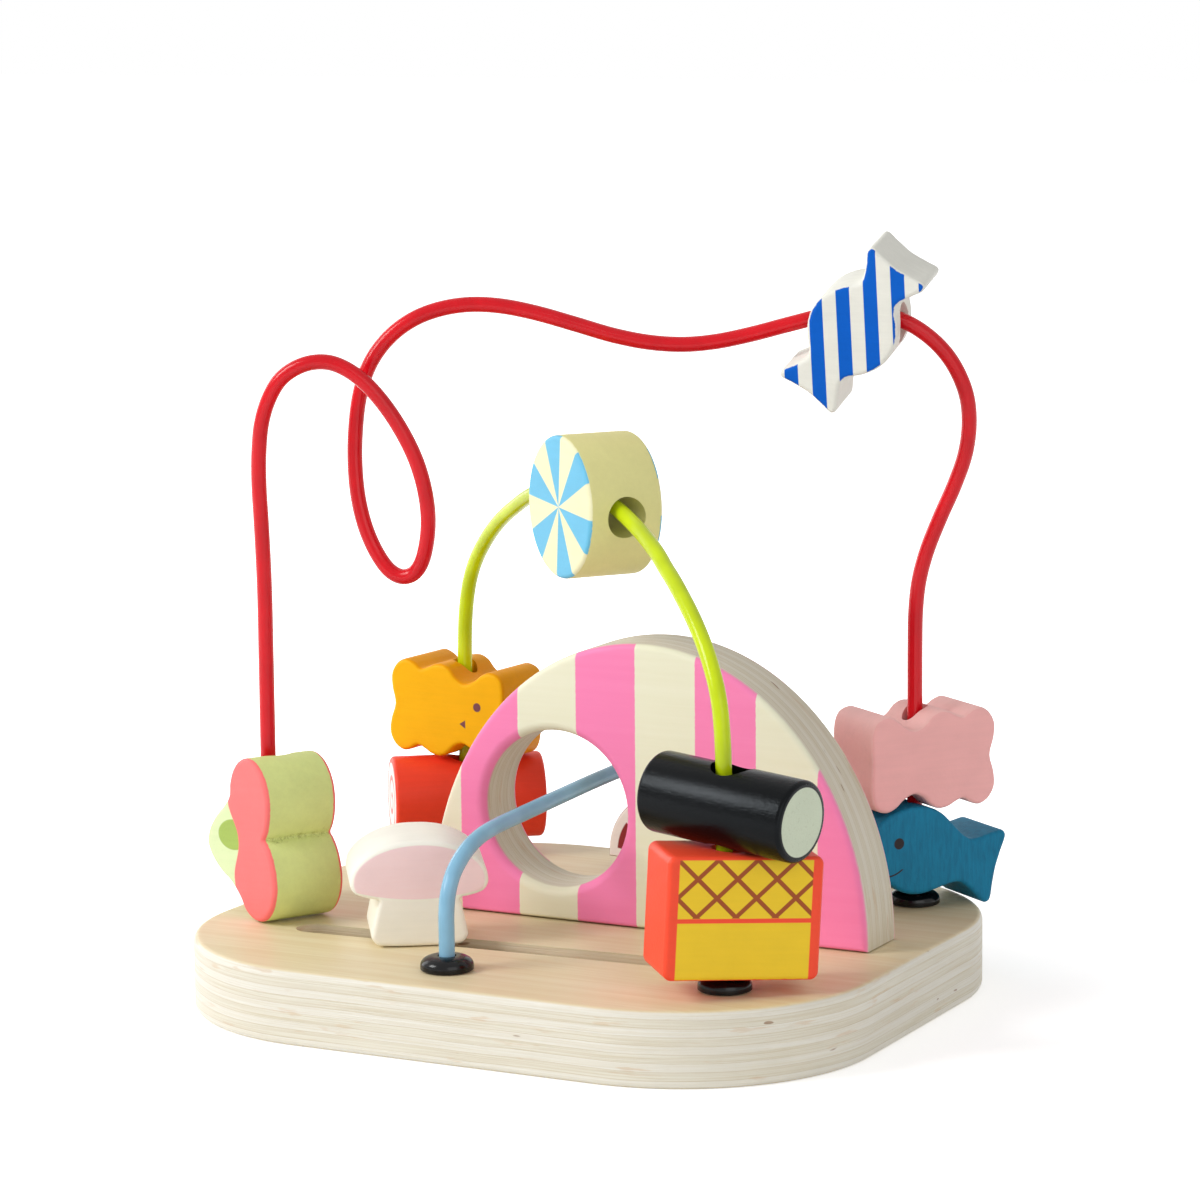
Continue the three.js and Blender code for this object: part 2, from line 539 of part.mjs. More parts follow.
// Dome-shaped jelly sweet on the blue rod's rear leg
const domeShape = new THREE.Shape();
domeShape.moveTo(-DOME_R, 0);
domeShape.lineTo(DOME_R, 0);
domeShape.absarc(0, DOME_SIDE, DOME_R, 0, Math.PI);
const dome = drilled(slab(domeShape.getPoints(24).slice(0, -1), STOCK, BEAD_EASE));
const domeBead = place(piece('jelly_dome_bead', dome, 0x7a3030, 0.5), BLUE_REAR, DOME_AZIMUTH, SEAT);

// Toadstool with the runner that holds it in the groove
const [cap, stem] = [STOOL_CAP_W / 2, STOOL_STEM_W / 2];
const stoolSide = [
  [0.774 * stem, 0], [0.896 * stem, 0.015 * STOOL_H], [stem, 0.076 * STOOL_H], [0.991 * stem, 0.134 * STOOL_H],
  [0.948 * stem, 0.229 * STOOL_H], [0.896 * stem, 0.344 * STOOL_H], [0.852 * stem, 0.439 * STOOL_H],
  [0.727 * cap, 0.462 * STOOL_H], [0.867 * cap, 0.489 * STOOL_H], [0.945 * cap, 0.519 * STOOL_H],
  [0.994 * cap, 0.573 * STOOL_H], [cap, 0.622 * STOOL_H], [0.964 * cap, 0.725 * STOOL_H],
  [0.848 * cap, 0.821 * STOOL_H], [0.709 * cap, 0.889 * STOOL_H], [0.558 * cap, 0.939 * STOOL_H],
  [0.382 * cap, 0.977 * STOOL_H], [0.188 * cap, 0.996 * STOOL_H],
];
const stoolOutline = stoolSide.concat([[0, STOOL_H]], stoolSide.slice().reverse().map(([x, y]) => [-x, y]));
const stoolAt = [
  GROOVE_MID[0] + STOOL_ALONG * Math.cos(rad(GROOVE_TURN)),
  GROOVE_MID[1] + STOOL_ALONG * Math.sin(rad(GROOVE_TURN)),
];
const stoolBody = solid(slab(vectors(stoolOutline), STOCK, BEAD_EASE));
const stoolHole = solid(bar(PIN_D / 2 + GAP + PIN_PLAY, -1, PIN_DEPTH + GAP, 0, 20));
const stoolSine = Math.sin(rad(STOOL_LEAN));
const stool = place(piece('toadstool_slider', stoolBody.subtract(stoolHole), 0xeee8d7, 0.55),
  stoolAt, STOOL_AZIMUTH, STOOL_LIFT + (STOCK / 2) * stoolSine,
  { out: -(PIN_DEPTH / 2) * stoolSine, tilt: -STOOL_LEAN });

const runnerTop = TOP - LIP - 2 * GAP;
const runner = turned([
  [0, runnerTop - RUNNER_T], [RUNNER_D / 2, runnerTop - RUNNER_T], [RUNNER_D / 2, runnerTop],
  [RUNNER_NECK / 2, runnerTop], [RUNNER_NECK / 2, TOP], [PIN_D / 2, TOP],
  [PIN_D / 2, TOP + STOOL_LIFT + PIN_DEPTH], [0, TOP + STOOL_LIFT + PIN_DEPTH],
], 20);
const runnerMesh = piece('groove_runner', solid(runner), 0xd9c9a3, 0.6);
runnerMesh.position.set(stoolAt[0], stoolAt[1], 0);

const frame = new THREE.Group();
frame.add(piece('base_board', base, 0xe9d9b8, 0.6), archMesh, ...screws, ...rods, ...collars);
frame.add(cherryBead, candyBead, pinkBead, fishBead, orangeBead, rollBead, liquoriceBead, boxBead);
frame.add(mintBead, domeBead, stool, runnerMesh);
frame.updateMatrixWorld(true);

export default frame;
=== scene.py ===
import functools
import math

import bmesh
import bpy
from mathutils import Matrix, Vector


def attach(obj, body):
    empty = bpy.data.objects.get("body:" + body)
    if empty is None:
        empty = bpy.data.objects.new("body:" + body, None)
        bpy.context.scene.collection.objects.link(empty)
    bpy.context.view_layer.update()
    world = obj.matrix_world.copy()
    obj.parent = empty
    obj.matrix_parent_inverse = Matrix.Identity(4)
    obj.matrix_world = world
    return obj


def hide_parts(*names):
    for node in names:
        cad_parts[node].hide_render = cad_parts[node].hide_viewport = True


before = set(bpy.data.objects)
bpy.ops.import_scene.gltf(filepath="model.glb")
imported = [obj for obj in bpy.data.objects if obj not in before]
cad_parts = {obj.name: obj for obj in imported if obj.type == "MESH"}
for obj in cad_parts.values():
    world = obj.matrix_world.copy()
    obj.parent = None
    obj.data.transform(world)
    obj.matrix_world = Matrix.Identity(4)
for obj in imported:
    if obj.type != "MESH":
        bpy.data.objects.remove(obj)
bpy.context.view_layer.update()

# Base board: 18 mm birch plywood, sawn to a rounded rectangle and sanded round at its edges. A slot is
# routed from above over a wider channel routed from below, blind sockets take the rods, and two
# countersunk holes take the screws of the upright board. Satin lacquer, white wash on the edge.
MM = 0.001
PLY = 18.0
PLY_EASE = 1.5
FIT = 0.3
ROD = 3.8
BASE_SIZE = (175.0, 154.0)
BASE_CORNER = 48.0
GROOVE_MID = Vector((-9.5, -34.3, 0))
GROOVE_TURN = math.radians(3)
GROOVE_LENGTH = 95.0
GROOVE_WIDTH = 8.6
CHANNEL_WIDTH = 18.4
GROOVE_LIP = 8.0
SOCKET_FLOOR = 4.0
VENEER = 2.0
ARCH_AT = (16.7, 4.2)
FEET = {
    "red_left": Vector((-76.5, -24.6, PLY)),
    "red_right": Vector((64.6, 49.9, PLY)),
    "lime_rear": Vector((-65.3, 55.5, PLY)),
    "lime_front": Vector((60.2, -49.8, PLY)),
    "blue_front": Vector((-6.7, -60.0, PLY)),
    "blue_rear": Vector((-4.5, 58.0, PLY)),
}
SCREW_SINK = 0.6
SCREWS = [Vector((x, ARCH_AT[1], SCREW_SINK)) for x in (-31.0, 60.0)]
SCREW_D = 4.0
SCREW_HEAD_D = 8.0


def linear(code):
    """Linear colour of an sRGB hex value."""
    parts = [int(code[i : i + 2], 16) / 255 for i in (0, 2, 4)]
    return (*[p / 12.92 if p <= 0.04045 else ((p + 0.055) / 1.055) ** 2.4 for p in parts], 1)


KINDS = {name: ("ShaderNodeMath", {"operation": name}) for name in (
    "ADD", "SUBTRACT", "MULTIPLY", "DIVIDE", "MULTIPLY_ADD", "ABSOLUTE", "FRACT", "FLOOR", "FLOORED_MODULO",
    "MAXIMUM", "ARCTAN2",
)} | {
    "LENGTH": ("ShaderNodeVectorMath", {"operation": "LENGTH"}),
    "NOISE": ("ShaderNodeTexNoise", {}),
    "RAMP": ("ShaderNodeMapRange", {}),
    "SOFT_RAMP": ("ShaderNodeMapRange", {"interpolation_type": "SMOOTHSTEP"}),
    "BLEND": ("ShaderNodeMix", {"data_type": "RGBA"}),
    "TINT": ("ShaderNodeMix", {"data_type": "RGBA", "blend_type": "MULTIPLY"}),
}


def add(tree, kind, sockets=(), **settings):
    """Adds a node with its settings, its values and its links, and gives its first live output. The kind is
    a short name or a node's own type; text for a socket is a colour's hex value. A ramp rises from 0 at its
    first limit to 1 at its second, unless other ends are given."""
    node, common = KINDS.get(kind, (kind, {}))
    new = tree.nodes.new(node)
    for name, value in {**common, **settings}.items():
        setattr(new, name, value)
    live = [s for s in new.inputs if s.enabled]
    wanted = sockets.items() if isinstance(sockets, dict) else enumerate(sockets)
    for key, value in wanted:
        socket = new.inputs[key] if isinstance(key, str) else live[key]
        if isinstance(value, bpy.types.NodeSocket):
            tree.links.new(value, socket)
        else:
            socket.default_value = linear(value) if isinstance(value, str) else value
    return next((s for s in new.outputs if s.enabled), None)


def arc(middle, radius, start, end, steps):
    """Points on an arc in the outline's plane, angles in degrees."""
    turns = [math.radians(start + (end - start) * i / steps) for i in range(steps + 1)]
    return [(middle[0] + radius * math.cos(t), middle[1] + radius * math.sin(t)) for t in turns]


def rounded(width, depth, corner, steps):
    """Outline of a rectangle with round corners."""
    outline = []
    for turn, (side_x, side_y) in enumerate([(1, -1), (1, 1), (-1, 1), (-1, -1)]):
        middle = (side_x * (width / 2 - corner), side_y * (depth / 2 - corner))
        outline += arc(middle, corner, 90 * turn - 90, 90 * turn, steps)
    return outline


def linked(name, data):
    """Object in the scene that holds a mesh, a light or a camera."""
    thing = bpy.data.objects.new(name, data)
    bpy.context.scene.collection.objects.link(thing)
    return thing


def meshed(name, shape):
    """Object with the mesh of a finished shape."""
    mesh = bpy.data.meshes.new(name)
    shape.to_mesh(mesh)
    shape.free()
    return linked(name, mesh)


def inset(outline, depth):
    """Outline drawn in by a depth, and by less at corners that are tighter than the depth."""
    count = len(outline)
    normals = []
    limits = []
    for i in range(count):
        a, b, c = (Vector(outline[j % count]) for j in (i - 1, i, i + 1))
        first, second = (b - a), (c - b)
        turn = first.x * second.y - first.y * second.x
        chord = first.length * second.length * (c - a).length
        limits.append(chord / (2 * turn) if turn > 1e-6 else 1e3)
        along = (first.normalized() + second.normalized()).normalized()
        normals.append(Vector((-along.y, along.x)))
    drawn = []
    for i in range(count):
        near = min(limits[(i + j) % count] for j in range(-3, 4))
        drawn.append(Vector(outline[i]) + normals[i] * min(depth, 0.8 * near))
    return drawn


def sawn(name, outline, thickness, ease, steps=5):
    """Board sawn to an outline, its rims sanded round; the middle of its thickness is at zero."""
    pairs = zip(outline, [*outline[1:], outline[0]])
    if sum(a[0] * b[1] - a[1] * b[0] for a, b in pairs) < 0:
        outline = outline[::-1]
    rings = [(ease * 1.35, 0.0), *arc((ease, ease), ease, 270, 180, steps)]
    levels = [(draw, thickness / 2 - drop) for draw, drop in rings]
    levels += [(draw, -height) for draw, height in reversed(levels)]
    shape = bmesh.new()
    loops = []
    for draw, height in levels:
        loops.append([shape.verts.new((p[0], p[1], height)) for p in inset(outline, draw)])
    for upper, lower in zip(loops, loops[1:]):
        for i in range(len(outline)):
            j = (i + 1) % len(outline)
            shape.faces.new((upper[i], lower[i], lower[j], upper[j]))
    shape.faces.new(loops[0])
    shape.faces.new(list(reversed(loops[-1])))
    return meshed(name, shape)


def turned(name, profile, sides, place=Matrix()):
    """Solid of revolution about z from a profile of radius and height that starts and ends on the axis."""
    shape = bmesh.new()
    low = shape.verts.new((0, 0, profile[0][1]))
    high = shape.verts.new((0, 0, profile[-1][1]))
    rings = []
    for radius, height in profile[1:-1]:
        circle = arc((0, 0), radius, 0, 360, sides)[:-1]
        rings.append([shape.verts.new((*p, height)) for p in circle])
    for i in range(sides):
        j = (i + 1) % sides
        shape.faces.new((low, rings[0][j], rings[0][i]))
        shape.faces.new((high, rings[-1][i], rings[-1][j]))
        for lower, upper in zip(rings, rings[1:]):
            shape.faces.new((lower[i], lower[j], upper[j], upper[i]))
    bmesh.ops.recalc_face_normals(shape, faces=shape.faces)
    made = meshed(name, shape)
    made.data.transform(place)
    return made


def bit(radius, low, high, place=Matrix(), sides=32):
    """Straight drill of one radius between two heights."""
    return turned("drill", [(0, low), (radius, low), (radius, high), (0, high)], sides, place)


def settle(piece):
    """Keeps the plain mesh that a piece's modifiers give."""
    dressed = piece.evaluated_get(bpy.context.evaluated_depsgraph_get())
    plain = bpy.data.meshes.new_from_object(dressed)
    piece.modifiers.clear()
    piece.data = plain


def carve(piece, cutters):
    """Takes the cutters' shapes out of a piece."""
    for cutter in cutters:
        bite = piece.modifiers.new("bite", "BOOLEAN")
        bite.operation = "DIFFERENCE"
        bite.solver = "EXACT"
        bite.object = cutter
    settle(piece)
    for cutter in cutters:
        bpy.data.objects.remove(cutter)


def fitted(piece, place, material, body, slot, *nodes):
    """Sets a finished piece in its place on a body, where it stands for the body's plain solids."""
    piece.data.transform(Matrix.Scale(MM, 4) @ place)
    piece.data.materials.clear()
    piece.data.materials.append(material)
    piece.data.shade_smooth()
    piece.data.set_sharp_from_angle(angle=math.radians(40))
    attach(piece, body)
    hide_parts(*nodes)


def finish(name):
    """Empty material, and the adder of nodes for its tree."""
    material = bpy.data.materials.new(name)
    material.use_nodes = True
    material.node_tree.nodes.clear()
    return material, functools.partial(add, material.node_tree)


def own_mm(put, place):
    """A piece's own coordinates in millimetres, from the place that it has in the frame."""
    spot = put("ShaderNodeTexCoord").node.outputs["Object"]
    settings = [spot, place.translation * MM, place.to_euler(), (MM, MM, MM)]
    return put("ShaderNodeMapping", settings, vector_type="TEXTURE")


def seal(material, put, colour, relief, roughness, height, **sockets):
    """Closes a material with its finish: colour, roughness, and a relief whose height is in millimetres."""
    bump = put("ShaderNodeBump", {"Height": relief, "Distance": height * MM})
    values = {"Base Color": colour, "Roughness": roughness, "Normal": bump, "Specular IOR Level": 0.25}
    surface = put("ShaderNodeBsdfPrincipled", {**values, **sockets})
    put("ShaderNodeOutputMaterial", {"Surface": surface})
    return material


def grain_noise(put, at, stretch, **sockets):
    """Noise drawn out along the grain, with so many features to the millimetre along x, y and z."""
    long = put("ShaderNodeVectorMath", [at, stretch], operation="MULTIPLY")
    return put("NOISE", {"Vector": long, "Scale": 1.0, **sockets})


def ply_edge(put, depth, along):
    """Colour of a plywood edge: nine veneers, cut along and across the grain by turns, under a thin white
    wash that lets the glue lines, the streaks of the cross veneers, tan patches and knots show."""
    wander = put("NOISE", {"Vector": along, "Scale": 0.05, "Detail": 3.0})
    level = put("MULTIPLY_ADD", [put("ADD", [wander, -0.5]), 0.7, depth])
    layer = put("DIVIDE", [level, VENEER])
    share = put("FRACT", [layer])
    parity = put("FLOORED_MODULO", [put("FLOOR", [layer]), 2.0])
    streak = grain_noise(put, along, (0.03, 0.03, 3.2), Detail=4.0, Roughness=0.65)
    streak = put("SOFT_RAMP", [streak, 0.35, 0.75])
    line = put("SOFT_RAMP", [share, 0.0, 0.12, 0.5, 0.0])
    straight = put("BLEND", [streak, "f0ece0", "e7dfcb"])
    cross = put("BLEND", [streak, "ece7d7", "dcd1b8"])
    wood = put("BLEND", [parity, straight, cross])
    wood = put("BLEND", [line, wood, "c2ae88"])
    patch = grain_noise(put, along, (0.06, 0.06, 0.5), Detail=3.0, Roughness=0.6)
    patch = put("SOFT_RAMP", [patch, 0.6, 0.7, 0.0, 0.4])
    wood = put("BLEND", [patch, wood, "d8b68c"])
    knots = grain_noise(put, along, (0.12, 0.12, 0.45), Detail=1.0)
    knots = put("SOFT_RAMP", [knots, 0.755, 0.785, 0.0, 0.7])
    return put("BLEND", [knots, wood, "8f6238"]), streak


def birch_plywood(groove):
    """Rotary-cut birch face under satin lacquer: warm, with long faint grain; the outer edge shows the
    washed veneers, the walls of the groove the bare ones."""
    material, put = finish("birch_plywood_satin")
    at = own_mm(put, Matrix())
    height = put("ShaderNodeSeparateXYZ", [at]).node.outputs["Z"]
    edge, streak = ply_edge(put, height, at)
    x, y = put("ShaderNodeSeparateXYZ", [own_mm(put, groove)]).node.outputs[:2]
    past = put("SUBTRACT", [put("ABSOLUTE", [x]), GROOVE_LENGTH / 2])
    past = put("MAXIMUM", [past, 0.0])
    spine = put("LENGTH", [put("ShaderNodeCombineXYZ", [past, y])])
    bare = put("RAMP", [spine, CHANNEL_WIDTH / 2 + 0.6, CHANNEL_WIDTH / 2 + 0.3])
    edge = put("TINT", [bare, edge, "fff3e0"])
    grain = grain_noise(put, at, (0.012, 0.35, 0.35), Detail=6.0, Roughness=0.6, Distortion=0.6)
    figure = put("SOFT_RAMP", [grain, 0.3, 0.72])
    face = put("BLEND", [figure, "eddfbb", "e5d2a8"])
    pores = grain_noise(put, at, (0.1, 2.4, 2.4), Detail=3.0)
    marks = put("SOFT_RAMP", [pores, 0.58, 0.75, 0.0, 0.3])
    face = put("BLEND", [marks, face, "d3b98c"])
    reach = put("ABSOLUTE", [put("SUBTRACT", [height, PLY / 2])])
    on_face = put("SOFT_RAMP", [reach, PLY / 2 - 0.55, PLY / 2 - 0.1])
    colour = put("BLEND", [on_face, edge, face])
    relief = put("ADD", [pores, streak])
    return seal(material, put, colour, relief, 0.42, 0.06, IOR=1.5)


def stadium(length, width, steps):
    """Outline of a slot with round ends."""
    right = arc((length / 2, 0), width / 2, -90, 90, steps)
    return right + arc((-length / 2, 0), width / 2, 90, 270, steps)


base = sawn("base_board_ply", rounded(*BASE_SIZE, BASE_CORNER, 40), PLY, PLY_EASE)
base.data.transform(Matrix.Translation((0, 0, PLY / 2)))
groove = Matrix.Translation(GROOVE_MID) @ Matrix.Rotation(GROOVE_TURN, 4, "Z")
rout_slot = sawn("rout_slot", stadium(GROOVE_LENGTH, GROOVE_WIDTH, 20), PLY, 0.01, 1)
rout_slot.data.transform(groove @ Matrix.Translation((0, 0, PLY - GROOVE_LIP - 1 + PLY / 2)))
rout_channel = sawn("rout_channel", stadium(GROOVE_LENGTH, CHANNEL_WIDTH, 24), PLY, 0.01, 1)
rout_channel.data.transform(groove @ Matrix.Translation((0, 0, PLY / 2 - GROOVE_LIP)))
drills = []
for foot in FEET.values():
    drills.append(bit(ROD / 2 + FIT, SOCKET_FLOOR, PLY + 1, Matrix.Translation((foot.x, foot.y, 0))))
for screw in SCREWS:
    wide, slim = SCREW_HEAD_D / 2 + FIT, SCREW_D / 2 + FIT
    cone = screw.z + (SCREW_HEAD_D - SCREW_D) / 2
    profile = [(0, -1), (wide, -1), (wide, screw.z), (slim, cone), (slim, PLY + 1), (0, PLY + 1)]
    drills.append(turned("drill", profile, 32, Matrix.Translation((screw.x, screw.y, 0))))
carve(base, [rout_slot, rout_channel, *drills])
fitted(base, Matrix(), birch_plywood(groove), "frame", "birch_ply", "base_board")

# Upright half-round board: the same plywood, sawn to half an ellipse with a round port, rims sanded.
# Pink stripes are printed over cream paint on both faces; the edge and the port show the bare veneers,
# tinted darker with painted shade.
ARCH_PLACE = Matrix.Translation((*ARCH_AT, PLY + FIT)) @ Matrix.Rotation(math.pi / 2, 4, "X")
ARCH_WIDTH = 117.8
ARCH_HEIGHT = 69.8
PORT_AT = (-24.2, 27.3)
PORT_RADIUS = 19.4
PORT_EASE = 2.5
STRIPE_PITCH = 32.1
STRIPE_AT = -41.8
PILOT_DEPTH = 12.9


def off_middle(put, phase):
    """How far a phase lies from the middle of its repeat, from 0 to 0.5."""
    share = put("FRACT", [phase])
    return put("ABSOLUTE", [put("ADD", [share, -0.5])])


def from_spot(put, at, spot, reach=(1, 1)):
    """Distance from a spot in the plane of a face, in shares of a reach across and up."""
    away = put("ShaderNodeVectorMath", [at, (*spot, 0)], operation="SUBTRACT")
    away = put("ShaderNodeVectorMath", [away, (1 / reach[0], 1 / reach[1], 0)], operation="MULTIPLY")
    return put("LENGTH", [away])


def striped_plywood():
    """Screen print on primed birch: flat colour, crisp edges, a little grain in the relief. The colour runs
    over the rims, most of all round the port, and fades out there."""
    material, put = finish("printed_birch_plywood")
    at = own_mm(put, ARCH_PLACE)
    parts = put("ShaderNodeSeparateXYZ", [at]).node.outputs
    turned_at = own_mm(put, ARCH_PLACE @ Matrix.Rotation(-math.pi / 2, 4, "X"))
    edge, streak = ply_edge(put, put("ADD", [parts["Z"], PLY / 2]), at)
    # darker tint of the veneers: partly bare wood, partly painted shade of the rim and the port wall
    edge = put("TINT", [0.35, edge, "c9bda6"])
    grain = grain_noise(put, turned_at, (0.02, 0.5, 0.5), Detail=5.0, Roughness=0.6)
    shake = put("NOISE", {"Vector": at, "Scale": 0.9, "Detail": 2.0})
    moved = put("MULTIPLY_ADD", [shake, 0.25, parts["X"]])
    phase = put("MULTIPLY_ADD", [moved, 1 / STRIPE_PITCH, 0.5 - STRIPE_AT / STRIPE_PITCH])
    stripe = put("SOFT_RAMP", [off_middle(put, phase), 0.253, 0.247])
    cream = put("BLEND", [grain, "f2f1da", "ebe9cc"])
    pink = put("BLEND", [grain, "ff8fc1", "fa83b7"])
    face = put("BLEND", [stripe, cream, pink])
    reach = put("MULTIPLY_ADD", [shake, 0.3, put("ABSOLUTE", [parts["Z"]])])
    rim = PORT_RADIUS + PORT_EASE
    wrap = put("RAMP", [from_spot(put, at, PORT_AT), rim + 0.5, rim + 1.5, 2.0, 1.1])
    reach = put("ADD", [reach, wrap])
    printed = put("SOFT_RAMP", [reach, PLY / 2 - 0.45, PLY / 2 + 0.7])
    colour = put("BLEND", [printed, edge, face])
    relief = put("ShaderNodeMix", [printed, streak, grain])
    return seal(material, put, colour, relief, 0.5, 0.06, IOR=1.48)


arch_outline = [(ARCH_WIDTH / 2 * x, ARCH_HEIGHT * y) for x, y in arc((0, 0), 1, 0, 180, 96)]
arch = sawn("arch_board_ply", arch_outline, PLY, PLY_EASE)
rim = PORT_RADIUS + PORT_EASE
port_profile = [(0, -PLY), (rim, -PLY), *arc((rim, PORT_EASE - 0.01 - PLY / 2), PORT_EASE, 270, 180, 9)]
port_profile += [(r, -h) for r, h in reversed(port_profile)]
cutters = [turned("port_saw", port_profile, 96, Matrix.Translation((*PORT_AT, 0)))]
for screw in SCREWS:
    stand = Matrix.Translation((screw.x - ARCH_AT[0], 0, 0)) @ Matrix.Rotation(-math.pi / 2, 4, "X")
    cutters.append(bit(SCREW_D / 2 + FIT, -1, PILOT_DEPTH, stand))
carve(arch, cutters)
fitted(arch, ARCH_PLACE, striped_plywood(), "frame", "striped_ply", "arch_board")

# Two countersunk wood screws hold the upright board from below: rolled steel, zinc plated, with a cross
# recess in the head. One screw is turned and cut, and stands on both of its points.
SCREW_LENGTH = 30.0
SCREW_THREAD = 0.55
SCREW_PITCH = 1.1
SCREW_TURNS = 22
SCREW_TIP = 5.0


def two_tone(name, tones, stretch, detail, roughness, height, **sockets):
    """Plain material in two tones of one noise, which is its fine relief too."""
    material, put = finish(name)
    noise = grain_noise(put, own_mm(put, Matrix()), stretch, Detail=detail)
    return seal(material, put, put("BLEND", [noise, *tones]), noise, roughness, height, **sockets)


def spread(name, mesh, tree, sizes):
    """Runs a node tree on a mesh with its sizes set, and keeps the plain mesh that comes out."""
    thing = linked(name, mesh)
    run = thing.modifiers.new("grow", "NODES")
    run.node_group = tree
    for item in tree.interface.items_tree:
        if item.in_out == "INPUT" and item.name in sizes:
            run[item.identifier] = sizes[item.name]
    settle(thing)
    return thing


def new_tree(name, **inputs):
    """Geometry tree with a geometry socket on both sides and named sizes."""
    tree = bpy.data.node_groups.new(name, "GeometryNodeTree")
    tree.interface.new_socket("Geometry", in_out="INPUT", socket_type="NodeSocketGeometry")
    tree.interface.new_socket("Geometry", in_out="OUTPUT", socket_type="NodeSocketGeometry")
    for label, kind in inputs.items():
        tree.interface.new_socket(label.replace("_", " "), in_out="INPUT", socket_type=kind)
    return tree, add(tree, "NodeGroupInput").node.outputs


def close_tree(tree, shape, coat):
    """Ends a geometry tree with plain geometry in its material."""
    whole = add(tree, "GeometryNodeRealizeInstances", [shape])
    coated = add(tree, "GeometryNodeSetMaterial", {"Geometry": whole, "Material": coat})
    add(tree, "NodeGroupOutput", [coated])


head = (SCREW_HEAD_D - SCREW_D) / 2
shank = [(0, 0), (SCREW_HEAD_D / 2 - 0.2, 0), (SCREW_HEAD_D / 2, 0.15), (SCREW_D / 2, head)]
for i in range(SCREW_TURNS):
    step = head + 1.5 + i * SCREW_PITCH
    taper = min(1.0, (SCREW_LENGTH - step) / SCREW_TIP)
    shank += [(SCREW_D / 2 * taper - SCREW_THREAD * taper, step), (SCREW_D / 2 * taper, step + 0.5)]
shank = [p for p in shank if p[1] < SCREW_LENGTH - 0.8] + [(0, SCREW_LENGTH)]
screw_shape = turned("screw_shape", shank, 28)
recess = []
for turn in (0, math.pi / 2):
    blade = sawn("blade", [(-2.1, -0.45), (2.1, -0.45), (2.1, 0.45), (-2.1, 0.45)], 3.0, 0.05, 1)
    blade.data.transform(Matrix.Rotation(turn, 4, "Z"))
    recess.append(blade)
carve(screw_shape, recess)
copy_tree, given = new_tree("copies_on_points", Copy="NodeSocketObject", Finish="NodeSocketMaterial")
source = add(copy_tree, "GeometryNodeObjectInfo", {"Object": given["Copy"]}).node.outputs["Geometry"]
copies = add(copy_tree, "GeometryNodeInstanceOnPoints", {"Points": given["Geometry"], "Instance": source})
close_tree(copy_tree, copies, given["Finish"])


def copies_at(name, spots, shape, material):
    """Copies of one shape on points, as one piece; the shape itself goes."""
    points = bpy.data.meshes.new(name)
    points.from_pydata(spots, [], [])
    made = spread(name, points, copy_tree, {"Copy": shape, "Finish": material})
    bpy.data.objects.remove(shape)
    return made


zinc = two_tone("zinc_plated_steel", ("c9cbcc", "a9acb0"), (3, 3, 3), 4.0, 0.32, 0.02, Metallic=1.0)
screws = copies_at("arch_screws_zinc", SCREWS, screw_shape, zinc)
fitted(screws, Matrix(), zinc, "frame", "zinc_screw", "arch_screw_1", "arch_screw_2")

# Three rods: 3.8 mm steel wire, bent cold and dipped in a smooth plastic coating, pushed into the
# sockets of the base. Each follows its bends as one swept round section.
RED_BENDS = [
    (0, 31, 0), (0, 61, 0), (0, 79, 0), (-0.2, 88.8, 0), (-0.5, 97.8, 0), (-0.8, 106.2, 0.4),
    (-0.6, 114.5, 1.1), (0.4, 122.3, 2.1), (2.5, 128.3, 3), (5.2, 132.5, 3.9), (8.8, 135.2, 4.8),
    (13.1, 136.7, 5.7), (17.4, 136.7, 6.5), (21.5, 135.1, 7.1), (25.8, 131.9, 7.5), (30.4, 126.6, 7.6),
    (34.8, 119.6, 7.3), (38, 112.5, 6.7), (39.9, 105.3, 5.8), (40.6, 98, 4.6), (39.9, 91.2, 3.2),
    (38.5, 86.6, 2), (36.7, 84.2, 1), (34.6, 83.3, 0.2), (32.7, 83.5, -0.6), (30.5, 84.9, -1.4),
    (27.8, 88.5, -2.6), (25, 94.7, -3.8), (23.2, 102.1, -4.9), (22.5, 110, -5.8), (22.7, 118.4, -6.3),
    (23.8, 126.9, -6.5), (25.8, 133.5, -6.5), (28.8, 138.6, -6.3), (33, 143, -6), (38.3, 146.4, -5.6),
    (44.7, 148.6, -5.1), (51.5, 149.5, -4.6), (58.9, 149.1, -4), (67.4, 147.4, -3.2), (77.1, 144.6, -2.5),
    (86.5, 141.8, -1.9), (95.2, 140.1, -1.3), (103.4, 139.6, -0.6), (111.1, 140.3, 0.4), (119.5, 142.1, 2),
    (128.9, 144.7, 4.2), (137.7, 147, 6.5), (145, 147.8, 8.4), (151.3, 147.3, 9.7), (156.8, 145.5, 10.4),
    (162, 142.2, 10.6), (166.5, 137.7, 10.4), (169.7, 132.5, 9.7), (171.8, 126.6, 8.7), (172.4, 119.8, 7.4),
    (171.6, 112.8, 6), (169.2, 105.2, 4.5), (165.7, 96.7, 3), (162.6, 88.3, 1.8), (160.8, 80.8, 1),
    (160.1, 73.3, 0.4), (160, 66, 0), (160, 50, 0), (160, 25, 0),
]
RED_REACH = 160.0
LIME_RISE = [
    (0, 50), (0.2, 57.8), (1, 63.6), (2.2, 68), (4, 72.2), (6.6, 76.2), (10, 79.9), (14.6, 83.8),
    (19.8, 87.5), (25, 90.6), (30.3, 93.3),
]
LIME_FALL = [
    (0, 46), (0.3, 55), (1, 60.7), (2, 65.2), (3.7, 69.3), (6.2, 73.2), (9.4, 77.1), (13, 80.6),
    (17.2, 84), (22, 87.3), (27.3, 90.6), (32, 93.1),
]
LIME_REACH = 162.6
LIME_TOP_AT = 81.0
LIME_CROWN = 105.6
LIME_RADIUS = 108.0
LIME_SWEEP = 24.5
